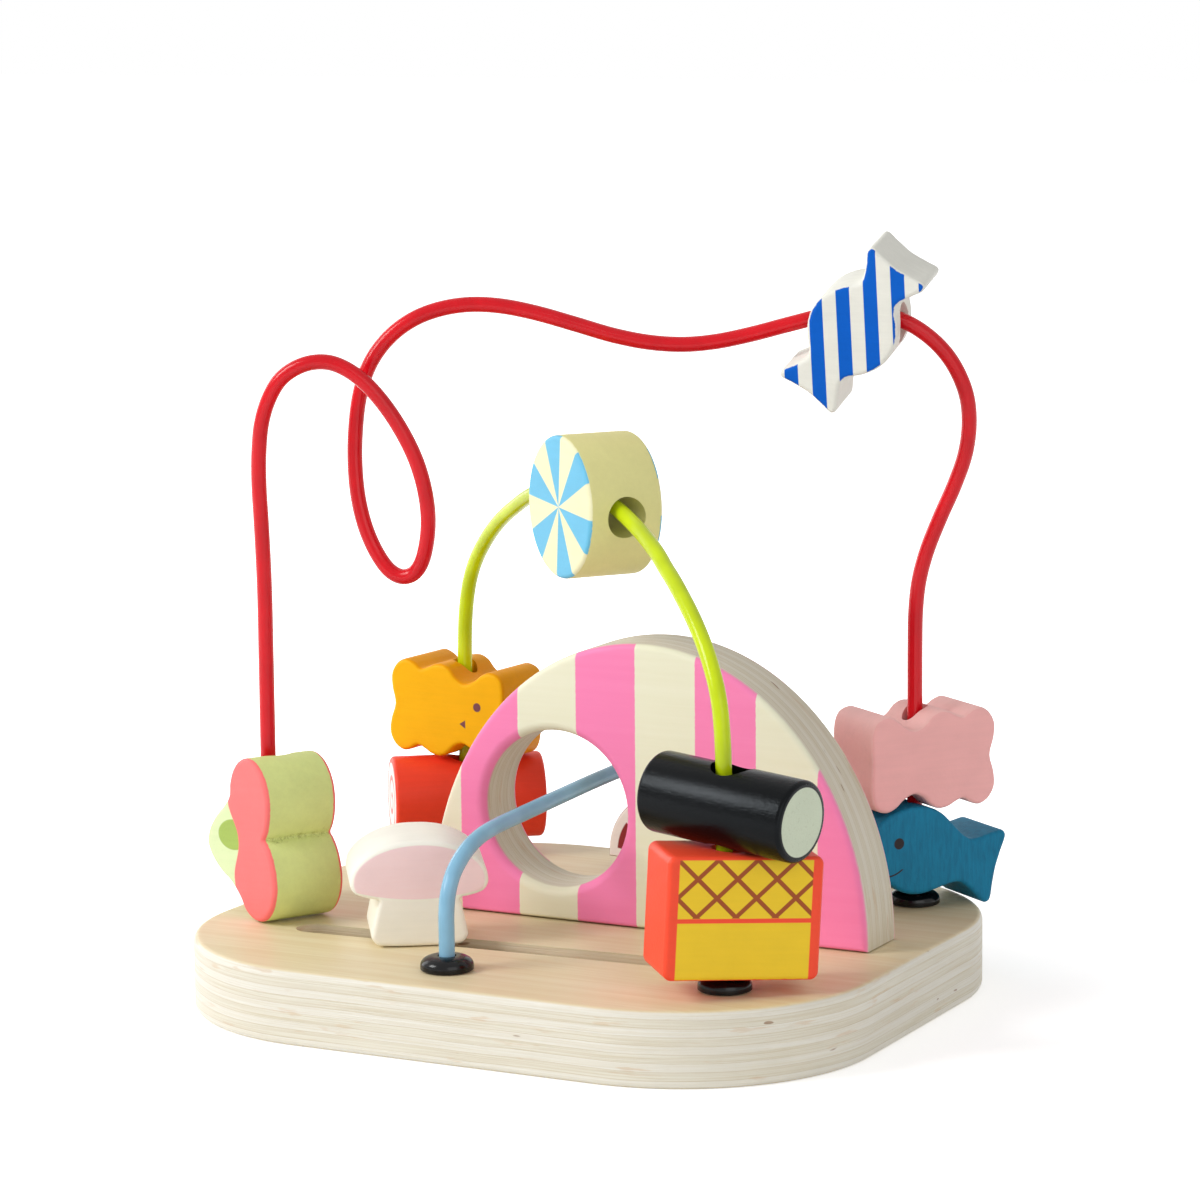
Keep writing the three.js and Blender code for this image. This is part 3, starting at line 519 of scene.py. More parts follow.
BLUE_BENDS = [
    (0, 8), (0, 13.5), (0.9, 18), (3.2, 22), (6.8, 25), (11.5, 27.4), (17, 28.9), (24, 29.7), (36.6, 30.3),
    (57, 31.2), (75, 31.9), (92, 32.2), (101, 31.9), (107.4, 30.5), (112.4, 27.8), (115.8, 24),
    (117.5, 19.8), (118, 15.5), (118, 8),
]
BLUE_REACH = 118.0
ROD_END = SOCKET_FLOOR + FIT - PLY


def dipped_wire(name, code):
    """Plastic-dipped steel: even gloss with the slightest sag of the coating along the wire."""
    material, put = finish(name)
    at = own_mm(put, Matrix())
    sag = put("NOISE", {"Vector": at, "Scale": 0.12, "Detail": 2.0})
    shade = put("RAMP", [sag, 0.3, 0.7, 0.9, 1.06])
    colour = put("TINT", [1.0, code, shade])
    skin = put("NOISE", {"Vector": at, "Scale": 0.9, "Detail": 2.0})
    return seal(material, put, colour, skin, 0.2, 0.02, IOR=1.5)


def bent(points, steps=5, closed=False):
    """Smooth path through points, open or closed, with no overshoot where their spacing changes."""
    points = [Vector(p) for p in points]
    if closed:
        ends = [points[-1], *points, *points[:2]]
    else:
        ends = [2 * points[0] - points[1], *points, 2 * points[-1] - points[-2]]
    path = []
    for a, b, c, d in zip(ends, ends[1:], ends[2:], ends[3:]):
        ab, bc, cd = ((q - p).length ** 0.5 for p, q in ((a, b), (b, c), (c, d)))
        out_b = bc * ((b - a) / ab - (c - a) / (ab + bc)) + (c - b)
        in_c = bc * ((d - c) / cd - (d - b) / (bc + cd)) + (c - b)
        bend = 3 * (c - b) - 2 * out_b - in_c
        lift = 2 * (b - c) + out_b + in_c
        for i in range(steps):
            t = i / steps
            path.append(b + out_b * t + bend * t * t + lift * t * t * t)
    return path if closed else [*path, points[-1]]


swept_rod, given = new_tree(
    "swept_rod", Diameter="NodeSocketFloat", Sides="NodeSocketInt", Coating="NodeSocketMaterial"
)
line = add(swept_rod, "GeometryNodeMeshToCurve", {"Mesh": given["Geometry"]})
radius = add(swept_rod, "DIVIDE", [given["Diameter"], 2.0])
ring = {"Resolution": given["Sides"], "Radius": radius}
section = add(swept_rod, "GeometryNodeCurvePrimitiveCircle", ring)
sweep = {"Curve": line, "Profile Curve": section, "Fill Caps": True}
swept = add(swept_rod, "GeometryNodeCurveToMesh", sweep)
close_tree(swept_rod, swept, given["Coating"])


def rod(name, node, start, end, bends, reach, coating, slot):
    """One rod from foot to foot: bends are along, up and out to the front, as drawn for a reach."""
    along = (FEET[end] - FEET[start]) / reach
    out = Vector((along.y, -along.x, 0)).normalized()
    shape = [(0, ROD_END, 0), *[(*b, 0)[:3] for b in bends], (reach, ROD_END, 0)]
    points = [FEET[start] + along * a + Vector((0, 0, u)) + out * o for a, u, o in shape]
    path = bent(points)
    mesh = bpy.data.meshes.new(name)
    mesh.from_pydata(path, [(i, i + 1) for i in range(len(path) - 1)], [])
    made = spread(name, mesh, swept_rod, {"Diameter": ROD, "Sides": 20, "Coating": coating})
    fitted(made, Matrix(), coating, "frame", slot, node)


rod("red_wire_coated", "red_wire", "red_left", "red_right", RED_BENDS, RED_REACH,
    dipped_wire("dipped_wire_red", "da0c1c"), "red_coating")
crown_middle = (LIME_TOP_AT, LIME_CROWN - LIME_RADIUS)
crown = arc(crown_middle, LIME_RADIUS, 90 + LIME_SWEEP, 90 - LIME_SWEEP, 10)
fall = [(LIME_REACH - a, u) for a, u in reversed(LIME_FALL)]
rod("lime_wire_coated", "lime_wire", "lime_rear", "lime_front", [*LIME_RISE, *crown, *fall], LIME_REACH,
    dipped_wire("dipped_wire_lime", "cbe012"), "lime_coating")
rod("blue_wire_coated", "blue_wire", "blue_front", "blue_rear", BLUE_BENDS, BLUE_REACH,
    dipped_wire("dipped_wire_blue_grey", "8abdda"), "blue_coating")

# Five collars: moulded black plastic domes on the feet of the rods, where a bead would scrape the base.
# One is turned with a flat foot and bored, and stands on every foot that has a collar.
COLLAR_D = 12.6
COLLAR_H = 3.2
profile = [(0, 0), (COLLAR_D / 2 - 0.15, 0), (COLLAR_D / 2, 0.15)]
for across, rise in arc((0, 0), 1, 0, 90, 10):
    profile.append((COLLAR_D / 4 * (1 + across), COLLAR_H * (0.3 + 0.7 * rise)))
collar_shape = turned("collar_shape", [*profile, (0, COLLAR_H)], 64)
carve(collar_shape, [bit(ROD / 2 + FIT, -1, COLLAR_H + 1)])
collared = ["red_right", "lime_rear", "lime_front", "blue_front", "blue_rear"]
plastic = two_tone("black_abs_gloss", ("060607", "0c0c0e"), (0.5, 0.5, 0.5), 3.0, 0.2, 0.02, IOR=1.53)
spots = [FEET[f] + Vector((0, 0, FIT)) for f in collared]
collars = copies_at("collars_plastic", spots, collar_shape, plastic)
fitted(collars, Matrix(), plastic, "frame", "black_collar", *[f"collar_{f}" for f in collared])

# Pair of cherries with a leaf, on the left leg of the red rod: sawn from 19.5 mm beech board, drilled
# upright, sprayed light green all over, then printed coral on both faces. It leans a little in its hole.
STOCK = 19.5
BEAD_EASE = 1.1
HOLE = 10.0
SEAT = COLLAR_H + 2 * FIT
CHERRY_W = 20.4
CHERRY_H = 40.2
CHERRY_LEAF = 23.4
CHERRY_SIDE = [
    (0.3, 0), (0.345, 0.024), (0.4, 0.062), (0.45, 0.112), (0.485, 0.175), (0.5, 0.245), (0.475, 0.325),
    (0.39, 0.405), (0.25, 0.468), (0.06, 0.499), (-0.14, 0.488), (-0.31, 0.436), (-0.43, 0.352),
    (-0.475, 0.275),
]
CHERRY_TIP = [
    (-0.56, 0.36), (-0.78, 0.24), (-0.93, 0.115), (-1, -0.02), (-0.975, -0.12), (-0.89, -0.23),
    (-0.72, -0.36), (-0.55, -0.45),
]
CHERRY_LEAN = 8.5
CHERRY_AZIMUTH = -30
CHERRY_HOLE_AT = -6.0
CHERRY_ALONG = 8.1
LEAF_LOBE = (-8.8, 1.2, 7.9, 3.8)


def standing(foot, azimuth, up, along=0.0, out=0.0, tilt=0.0):
    """Place of a bead on a rod: its face looks to the azimuth (0 is the front, positive to the right)."""
    spot = Matrix.Translation((foot.x, foot.y, PLY + up)) @ Matrix.Rotation(math.radians(azimuth), 4, "Z")
    upright = Matrix.Rotation(math.pi / 2 - math.radians(tilt), 4, "X")
    return spot @ Matrix.Translation((along, -out, 0)) @ upright


def leaned(degrees):
    """Turn of a bead in the plane of its face."""
    return Matrix.Rotation(math.radians(degrees), 4, "Z")


def drill(x=0.0, turn=0.0, width=HOLE):
    """Drill for a bead's hole, upright at x, or turned in the plane of the face."""
    across = Matrix.Translation((x, 0, 0)) @ Matrix.Rotation(-math.pi / 2, 4, "X")
    return bit(width / 2, -60, 60, leaned(turn) @ across, 40)


def bead(name, outline, hole, lean=0.0, thickness=STOCK):
    """Bead sawn to an outline with sanded rims, leaned in the plane of its face and drilled."""
    piece = sawn(name, outline, thickness, BEAD_EASE)
    piece.data.transform(leaned(lean))
    carve(piece, [hole])
    return piece


def lowest(outline, lean):
    """Height of the lowest point of an outline that leans."""
    return min((leaned(lean) @ Vector((*p, 0))).y for p in outline)


def painted(
    name, place, pattern, show, thickness=STOCK, wrap=0.3, height=0.05, grain=(0.05, 0.7, 0.7), **sockets
):
    """Paint of a bead. Its pattern gives colour and roughness from the bead's own millimetres and the mask
    of the printed faces, which wrap the rims. The grain shows through the spray in tone and relief."""
    material, put = finish(name)
    at = own_mm(put, place)
    x, y, z = put("ShaderNodeSeparateXYZ", [at]).node.outputs
    rough_rim = put("NOISE", {"Vector": at, "Scale": 0.7, "Detail": 4.0, "Roughness": 0.7})
    reach = put("MULTIPLY_ADD", [rough_rim, 0.5, put("ABSOLUTE", [z])])
    face = put("SOFT_RAMP", [reach, thickness / 2 + 0.15 - wrap, thickness / 2 + 0.35 - wrap])
    colour, roughness = pattern(put, at, x, y, face)
    fibres = grain_noise(put, at, grain, Detail=5.0, Roughness=0.65)
    mottle = put("NOISE", {"Vector": at, "Scale": 0.12, "Detail": 2.0})
    tone = put("RAMP", [put("ADD", [fibres, mottle]), 0.6, 1.4, 1 - show, 1 + show])
    colour = put("TINT", [1.0, colour, tone])
    peel = put("NOISE", {"Vector": at, "Scale": 1.6, "Detail": 3.0})
    return seal(material, put, colour, put("ADD", [fibres, peel]), roughness, height, IOR=1.48, **sockets)


def cherry_paint(put, at, x, y, face):
    """Matt spray paint, one print, and specks of painted shade on the sides at the waist between the fruits.
    """
    off = put("ABSOLUTE", [y])
    waist = put("SOFT_RAMP", [off, 0.5, 9.5, -6.4, -10.2])
    fruit = put("SOFT_RAMP", [put("SUBTRACT", [x, waist]), -0.1, 0.2])
    lobe = put("RAMP", [from_spot(put, at, LEAF_LOBE[:2], LEAF_LOBE[2:]), 1.03, 0.97])
    leaf = put("BLEND", [lobe, "dbe8b2", "a0b852"])
    print_colour = put("BLEND", [fruit, leaf, "fb7776"])
    # painted shade: dark olive specks on the green sides at the notch between the fruits, where shade falls
    notch_shade_noise = put("NOISE", {"Vector": at, "Scale": 0.8, "Detail": 6.0, "Roughness": 0.8})
    notch = put("RAMP", [off, 0.0, 2.6, 0.3, 0.0])
    notch_shade = put("SOFT_RAMP", [put("ADD", [notch_shade_noise, notch]), 0.7, 0.9, 0.0, 0.6])
    side = put("BLEND", [notch_shade, "d8e292", "8f934f"])
    return put("BLEND", [face, side, print_colour]), 0.55


side = [(x * CHERRY_W, y * CHERRY_H) for x, y in CHERRY_SIDE]
tip = [(x * CHERRY_LEAF, y * CHERRY_LEAF) for x, y in CHERRY_TIP]
lower = [(x, -y) for x, y in reversed(side[1:-1])]
outline = bent([*side, *tip, *lower], closed=True)
cherry = bead("cherry_bead_painted", outline, drill(CHERRY_HOLE_AT), CHERRY_LEAN)
cherry_up = FIT - lowest(outline, CHERRY_LEAN)
cherry_place = standing(FEET["red_left"], CHERRY_AZIMUTH, cherry_up, along=CHERRY_ALONG)
print_place = cherry_place @ leaned(CHERRY_LEAN)
cherry_coat = painted("sprayed_beech_cherries", print_place, cherry_paint, show=0.06, wrap=1.0)
fitted(cherry, cherry_place, cherry_coat, "cherry", "cherry_paint", "cherry_bead")

# Wrapped sweet on the red rod's bow: sawn from the same board, drilled across its long axis, painted
# off-white and printed with blue stripes on both faces. It hangs by the hole and can rock.
CANDY_BODY = 11.0
CANDY_END = 19.8
CANDY_FAN = 8.2
CANDY_QUARTER = [
    (0, CANDY_BODY), (3.96, 10.23), (7.48, 8.14), (10.01, 5.83), (11.44, 5.17), (12.98, 5.5),
    (CANDY_END * 0.8, CANDY_FAN * 0.84), (CANDY_END * 0.93, CANDY_FAN), (CANDY_END, CANDY_FAN * 0.93),
    (CANDY_END * 0.985, CANDY_FAN * 0.5), (CANDY_END * 0.965, 0),
]
CANDY_TURN = 53.5
CANDY_AZIMUTH = 12
CANDY_TILT = -8.5
CANDY_AT = Vector((55.979, 35.668, 145.504))
CANDY_PITCH = 6.75
CANDY_STRIPE = -1.78
CANDY_SLANT = math.radians(1)
DULL = {"Specular IOR Level": 0.12}


def mirrored(half):
    """Outline from its upper half, which runs from axis to axis."""
    return [*half, *[(x, -y) for x, y in reversed(half[1:-1])]]


def candy_paint(put, at, x, y, face):
    """Matt off-white paint with a crisp blue print."""
    across = put("MULTIPLY_ADD", [y, math.tan(CANDY_SLANT), x])
    phase = put("MULTIPLY_ADD", [across, 1 / CANDY_PITCH, 0.5 - CANDY_STRIPE / CANDY_PITCH])
    stripe = put("SOFT_RAMP", [off_middle(put, phase), 0.26, 0.24])
    return put("BLEND", [put("MULTIPLY", [stripe, face]), "efeee4", "0460ca"]), 0.5


left = [(-x, y) for x, y in reversed(CANDY_QUARTER[1:])]
outline = bent(mirrored([*left, *CANDY_QUARTER]), closed=True)
candy = bead("candy_bead_painted", outline, drill(turn=90), CANDY_TURN)
candy_place = standing(CANDY_AT, CANDY_AZIMUTH, CANDY_AT.z, tilt=CANDY_TILT)
candy_coat = painted("sprayed_beech_wrapped_sweet", candy_place, candy_paint, show=0.05, **DULL)
fitted(candy, candy_place, candy_coat, "candy", "candy_paint", "candy_bead")

# Fish on the right leg of the red rod: sawn, drilled upright and dipped in blue stain, so that the grain
# stays visible; the eye and the smile are printed on both faces.
FISH_BODY = 27.6
FISH_HEIGHT = 22.4
FISH_TAIL = 23.8
FISH_HALF = [(x * FISH_BODY, y * FISH_HEIGHT) for x, y in (
    (-0.5, 0), (-0.48, 0.14), (-0.41, 0.262), (-0.29, 0.375), (-0.145, 0.458), (0, 0.49), (0.145, 0.46),
    (0.29, 0.37), (0.417, 0.285),
)] + [(x * FISH_TAIL, y * FISH_TAIL) for x, y in (
    (0.59, 0.235), (0.685, 0.262), (0.83, 0.338), (0.95, 0.39), (1, 0.355), (0.99, 0.165), (0.98, 0),
)]
FISH_LEAN = -16.0
FISH_AZIMUTH = 54
FISH_HOLE_AT = 4.5
FISH_LIFT = 0.55
FISH_UP = SEAT + FISH_HEIGHT / 2 + FISH_LIFT
FISH_EYE = (-5.7, 2.35, 1.4)
FISH_SMILE = (-9.0, 1.2, 6.8)


def fish_stain(put, at, x, y, face):
    """Thin blue stain on beech: dark streaks where the open grain drinks more, little gloss."""
    drink = grain_noise(put, at, (1.1, 0.16, 1.1), Detail=6.0, Roughness=0.7, Distortion=0.4)
    drink = put("SOFT_RAMP", [drink, 0.36, 0.7])
    wood = put("BLEND", [drink, "0f7da2", "0a6c8f"])
    eye = from_spot(put, at, FISH_EYE[:2])
    ink = put("RAMP", [eye, FISH_EYE[2] + 0.1, FISH_EYE[2] - 0.1])
    smile = put("SUBTRACT", [from_spot(put, at, FISH_SMILE[:2]), FISH_SMILE[2]])
    smile = put("RAMP", [put("ABSOLUTE", [smile]), 0.28, 0.12])
    low = put("RAMP", [y, -4.0, -4.2])
    ink = put("MAXIMUM", [ink, put("MULTIPLY", [smile, low])])
    ink = put("MULTIPLY", [ink, face])
    return put("BLEND", [ink, wood, "241a1a"]), 0.55


outline = bent(mirrored(FISH_HALF)[::-1], closed=True)
fish = bead("fish_bead_stained", outline, drill(FISH_HOLE_AT), FISH_LEAN)
fish_place = standing(FEET["red_right"], FISH_AZIMUTH, FISH_UP, along=-FISH_HOLE_AT)
fish_coat = painted("blue_stained_beech", fish_place, fish_stain, show=0.05, grain=(1.2, 0.15, 1.2))
fitted(fish, fish_place, fish_coat, "fish", "blue_stain", "fish_bead")

# Two gummy bears, one outline: sawn lying on their sides and drilled across the waist. The pink one is
# plain and rests on the fish, the orange one has a printed eye and nose and rests on the red roll.
BEAR_LENGTH = 35.4
BEAR_WIDTH = 24.4
BEAR_HALF = [(x * BEAR_LENGTH, y * BEAR_WIDTH) for x, y in (
    (0.5, 0), (0.5, 0.33), (0.46, 0.45), (0.375, 0.49), (0.3, 0.45), (0.24, 0.377), (0.155, 0.328),
    (0.085, 0.37), (0.023, 0.46), (-0.042, 0.5), (-0.118, 0.488), (-0.178, 0.447), (-0.235, 0.422),
    (-0.293, 0.471), (-0.367, 0.5), (-0.44, 0.45), (-0.49, 0.33), (-0.487, 0.18), (-0.455, 0),
)]
BEAR_HOLE = 6.5
ORANGE_LEAN = -3.0
ORANGE_AZIMUTH = -5
ROLL_D = 22.4
PINK_DIP = 1.3
PINK_UP = FISH_UP + FISH_HEIGHT / 2 + BEAR_WIDTH / 2 - PINK_DIP
BEAR_EYE = (10.1, 1.9, 1.2)
BEAR_NOSE = (4.5, -2.9, 1.9, 1.2)


def pink_bear_paint(put, at, x, y, face):
    """Matt sugar-pink spray paint; the sawn sides are painted lighter than the faces, as painted light."""
    # painted light: the sides get a lighter pink than the faces, though the paint is one colour
    return put("BLEND", [face, "fec8c3", "fbbab7"]), 0.58


def orange_bear_paint(put, at, x, y, face):
    """Satin orange spray paint, the sides and rims painted darker as painted shade, with a purple-brown
    print.
    """
    eye = from_spot(put, at, BEAR_EYE[:2])
    eye = put("RAMP", [eye, BEAR_EYE[2] + 0.1, BEAR_EYE[2] - 0.15])
    nose_x = put("SUBTRACT", [x, BEAR_NOSE[0]])
    nose_y = put("ABSOLUTE", [put("SUBTRACT", [y, BEAR_NOSE[1]])])
    spread_y = put("MULTIPLY", [nose_x, BEAR_NOSE[3] / BEAR_NOSE[2]])
    nose = put("RAMP", [put("SUBTRACT", [spread_y, nose_y]), 0.0, 0.15])
    end = put("RAMP", [nose_x, BEAR_NOSE[2] + 0.1, BEAR_NOSE[2] - 0.1])
    ink = put("MAXIMUM", [eye, put("MULTIPLY", [nose, end])])
    ink = put("MULTIPLY", [ink, face])
    # painted shade: the sawn sides and rims get a darker orange than the faces
    coat = put("BLEND", [face, "f4a202", "fab80e"])
    return put("BLEND", [ink, coat, "7a4a52"]), 0.45


flipped = mirrored([(-x, y) for x, y in BEAR_HALF])[::-1]
outline = bent(flipped, 4, closed=True)[::-1]
pink_bear = bead("pink_bear_bead_painted", outline, drill(width=BEAR_HOLE))
pink_place = standing(FEET["red_right"], FISH_AZIMUTH, PINK_UP)
pink_coat = painted("sprayed_beech_pink", pink_place, pink_bear_paint, show=0.05)
fitted(pink_bear, pink_place, pink_coat, "pink_bear", "pink_paint", "pink_bear_bead")
outline = bent(mirrored(BEAR_HALF), 4, closed=True)
orange_bear = bead("orange_bear_bead_painted", outline, drill(width=BEAR_HOLE), ORANGE_LEAN)
orange_up = SEAT + ROLL_D + FIT - lowest(outline, ORANGE_LEAN)
orange_place = standing(FEET["lime_rear"], ORANGE_AZIMUTH, orange_up)
orange_coat = painted("sprayed_beech_orange", orange_place, orange_bear_paint, show=0.05, **DULL)
fitted(orange_bear, orange_place, orange_coat, "orange_bear", "orange_paint", "orange_bear_bead")

# Red roll under the orange bear: a beech dowel turned to size, ends sanded, drilled across. Satin red
# paint; the ends are printed white with a pink-red swirl.
ROLL_LENGTH = 39.6
ROLL_AZIMUTH = -53.8
SWIRL_PITCH = 4.6


def red_roll_paint(put, at, x, y, face):
    """Satin red over beech; the ends have a swirl of one red turn to each pitch."""
    radius = from_spot(put, at, (0, 0))
    turns = put("DIVIDE", [put("ARCTAN2", [y, x]), 2 * math.pi])
    swirl = put("MULTIPLY_ADD", [radius, 1 / SWIRL_PITCH, turns])
    swirl = put("RAMP", [off_middle(put, swirl), 0.17, 0.13])
    end = put("BLEND", [swirl, "f6e6df", "ea6a63"])
    disc = put("RAMP", [radius, ROLL_D / 2 - 1.1, ROLL_D / 2 - 1.5])
    return put("BLEND", [put("MULTIPLY", [face, disc]), "f2442a", end]), 0.42


outline = arc((0, 0), ROLL_D / 2, 0, 360, 64)[:-1]
roll = bead("red_roll_bead_painted", outline, drill(), thickness=ROLL_LENGTH)
roll_place = standing(FEET["lime_rear"], ROLL_AZIMUTH, SEAT + ROLL_D / 2)
roll_coat = painted(
    "sprayed_beech_red_roll", roll_place, red_roll_paint, show=0.06, thickness=ROLL_LENGTH,
    grain=(0.7, 0.7, 0.05)
)
fitted(roll, roll_place, roll_coat, "red_roll", "red_paint", "red_roll_bead")

# Peppermint on the lime rod's crown: a disc sawn with a hole saw, drilled edge to edge, painted pale
# yellow, with six blue wedges printed on both faces. It slides along the crown.
PEPPERMINT_D = 34.6
PEPPERMINT_AT = Vector((3.143, -1.927, 102.916))
PEPPERMINT_LEAN = -94.2
PEPPERMINT_AZIMUTH = -36.5
WEDGE_PITCH = 60
WEDGE_AT = 40.5


def peppermint_paint(put, at, x, y, face):
    """Matt pale yellow paint; six printed wedges of 30 degrees, each with a hair-thin pale edge."""
    angle = put("ARCTAN2", [y, x])
    shift = 0.5 - WEDGE_AT / WEDGE_PITCH
    phase = put("MULTIPLY_ADD", [angle, 1 / math.radians(WEDGE_PITCH), shift])
    wedge = put("RAMP", [off_middle(put, phase), 0.257, 0.243])
    coat = put("BLEND", [wedge, "f3efc4", "6cbfe2"])
    return put("BLEND", [face, "e6e09a", coat]), 0.52


outline = arc((0, 0), PEPPERMINT_D / 2, 0, 360, 96)[:-1]
peppermint = bead("peppermint_bead_painted", outline, drill())
mint_place = standing(PEPPERMINT_AT, PEPPERMINT_AZIMUTH, PEPPERMINT_AT.z)
mint_coat = painted("sprayed_beech_peppermint", mint_place, peppermint_paint, show=0.04, wrap=0.7)
mint_place = mint_place @ leaned(PEPPERMINT_LEAN)
fitted(peppermint, mint_place, mint_coat, "peppermint", "peppermint_paint", "peppermint_bead")

# Waffle box on the front leg of the lime rod: a sawn block with small round corners, drilled upright and
# painted red; a yellow panel with a brown waffle lattice over a plain field is printed on both faces.
BOX_W = 36.5
BOX_H = 28.7
BOX_CORNER = 2.0
BOX_LEAN = -3.2
BOX_AZIMUTH = 41
BOX_ALONG = 2.0
BOX_UP = SEAT + (COLLAR_D / 2 + BOX_ALONG) * math.sin(math.radians(-BOX_LEAN)) + BOX_H / 2
LATTICE = (9.25, 8.8)
LATTICE_AT = (2.58, 0.42)


def waffle_box_paint(put, at, x, y, face):
    """Satin red paint, with flat printed colours that stop short of the rims."""
    panel = put("RAMP", [put("ABSOLUTE", [x]), BOX_W / 2 - 2.5, BOX_W / 2 - 2.7])
    below = put("RAMP", [y, BOX_H / 2 - 0.7, BOX_H / 2 - 0.9])
    panel = put("MULTIPLY", [panel, below])
    across = put("DIVIDE", [put("SUBTRACT", [x, LATTICE_AT[0]]), LATTICE[0]])
    height = put("SUBTRACT", [y, LATTICE_AT[1]])
    lines = []
    for sign in (1, -1):
        slope = put("MULTIPLY_ADD", [height, sign / LATTICE[1], across])
        lines.append(put("RAMP", [off_middle(put, slope), 0.088, 0.072]))
    upper = put("RAMP", [y, 0.1, 0.25])
    lattice = put("MULTIPLY", [put("MAXIMUM", lines), upper])
    yellow = put("BLEND", [lattice, "f2cb2a", "a04c20"])
    band = put("ABSOLUTE", [put("ADD", [y, 0.4])])
    band = put("RAMP", [band, 0.45, 0.6])
    panel = put("MULTIPLY", [panel, band])
    return put("BLEND", [put("MULTIPLY", [panel, face]), "fa4f31", yellow]), 0.42


box = bead("waffle_box_bead_painted", rounded(BOX_W, BOX_H, BOX_CORNER, 10), drill(), BOX_LEAN)
box_place = standing(FEET["lime_front"], BOX_AZIMUTH, BOX_UP, along=BOX_ALONG)
print_place = box_place @ leaned(BOX_LEAN)
box_coat = painted("sprayed_beech_waffle_box", print_place, waffle_box_paint, show=0.04)
fitted(box, box_place, box_coat, "waffle_box", "box_paint", "waffle_box_bead")

# Liquorice roll on the box: a slimmer dowel, drilled across, in thick black gloss paint that has settled
# into the grain; a pale mint disc is printed on each end.
LIQUORICE_D = 19.0
LIQUORICE_AZIMUTH = 80
LIQUORICE_OUT = 1.7
LIQUORICE_TILT = -4
LIQUORICE_LIFT = 0.5
LIQUORICE_PRINT = LIQUORICE_D * 0.42


def liquorice_paint(put, at, x, y, face):
    """Thick gloss paint: the raised grain breaks the highlight into short streaks."""
    radius = from_spot(put, at, (0, 0))
    disc = put("RAMP", [radius, LIQUORICE_PRINT + 0.1, LIQUORICE_PRINT - 0.1])
    flecks = put("NOISE", {"Vector": at, "Scale": 1.1, "Detail": 5.0, "Roughness": 0.7})
    flecks = put("RAMP", [flecks, 0.58, 0.68, 0.0, 0.45])
    mint = put("BLEND", [flecks, "d3dcc4", "b9bfa2"])
    disc = put("MULTIPLY", [disc, face])
    colour = put("BLEND", [disc, "060607", mint])
    rough = put("RAMP", [disc, 0.0, 1.0, 0.2, 0.55])
    return colour, rough


outline = arc((0, 0), LIQUORICE_D / 2, 0, 360, 64)[:-1]
liquorice = bead("liquorice_bead_painted", outline, drill(), thickness=ROLL_LENGTH)
liquorice_up = BOX_UP + BOX_H / 2 + LIQUORICE_D / 2 + LIQUORICE_LIFT
black_place = standing(
    FEET["lime_front"], LIQUORICE_AZIMUTH, liquorice_up, out=LIQUORICE_OUT, tilt=LIQUORICE_TILT
)
black_coat = painted(
    "gloss_black_beech_dowel", black_place, liquorice_paint, show=0.04, thickness=ROLL_LENGTH,
    height=0.055, grain=(2.6, 2.6, 0.5), **{"Specular IOR Level": 0.15, "Specular Tint": "e4eff6"}
)
fitted(liquorice, black_place, black_coat, "liquorice", "black_paint", "liquorice_bead")

# Jelly dome on the rear leg of the blue rod: a sawn half disc, drilled upright, brown-red on the sides;
# the faces are white with dark red segments.
DOME_R = 15.5
DOME_SIDE = 1.5
DOME_AZIMUTH = -10
DOME_PRINT = 12.3


def jelly_paint(put, at, x, y, face):
    """Satin paint with a printed fan of segments."""
    angle = put("ARCTAN2", [put("ADD", [y, -DOME_SIDE]), x])
    phase = put("DIVIDE", [angle, math.radians(45)])
    wedge = put("RAMP", [off_middle(put, phase), 0.41, 0.38])
    radius = from_spot(put, at, (0, DOME_SIDE))
    inner = put("RAMP", [radius, DOME_PRINT + 0.3, DOME_PRINT])
    print_colour = put("BLEND", [put("MULTIPLY", [wedge, inner]), "f2ece4", "8e2a2c"])
    return put("BLEND", [face, "7d3a34", print_colour]), 0.48


outline = [(-DOME_R, 0), (DOME_R, 0), *arc((0, DOME_SIDE), DOME_R, 0, 180, 48)]
dome = bead("jelly_dome_bead_painted", outline, drill())
dome_place = standing(FEET["blue_rear"], DOME_AZIMUTH, SEAT)
dome_coat = painted("sprayed_beech_jelly", dome_place, jelly_paint, show=0.06)
fitted(dome, dome_place, dome_coat, "jelly_dome", "jelly_paint", "jelly_dome_bead")

# Toadstool in the groove: sawn, sprayed cream, the cap printed pale pink on both faces. A pin from the
# runner below goes up into it, so that it slides along the groove and turns on the pin.
STOOL_AT = Vector((-28.7736, -35.3101, 0))
STOOL_H = 25.6
STOOL_CAP = 16.5
STOOL_STEM = 11.5
STOOL_LIFT = 0.4
STOOL_LEAN = math.radians(3)
STOOL_AZIMUTH = 34
STOOL_WIDEST = 0.622
STOOL_SIDE = [(x * STOOL_STEM, y * STOOL_H) for x, y in (
    (0.774, 0), (0.896, 0.015), (1, 0.076), (0.991, 0.134), (0.948, 0.229), (0.896, 0.344), (0.852, 0.439),
)] + [(x * STOOL_CAP, y * STOOL_H) for x, y in (
    (0.727, 0.462), (0.867, 0.489), (0.945, 0.519), (0.994, 0.573), (1, STOOL_WIDEST), (0.964, 0.725),
    (0.848, 0.821), (0.709, 0.889), (0.558, 0.939), (0.382, 0.977), (0.188, 0.996),
)]
STOOL_RIM = 0.9
PIN_D = 5.0
PIN_PLAY = 0.5
PIN_DEPTH = 13.0


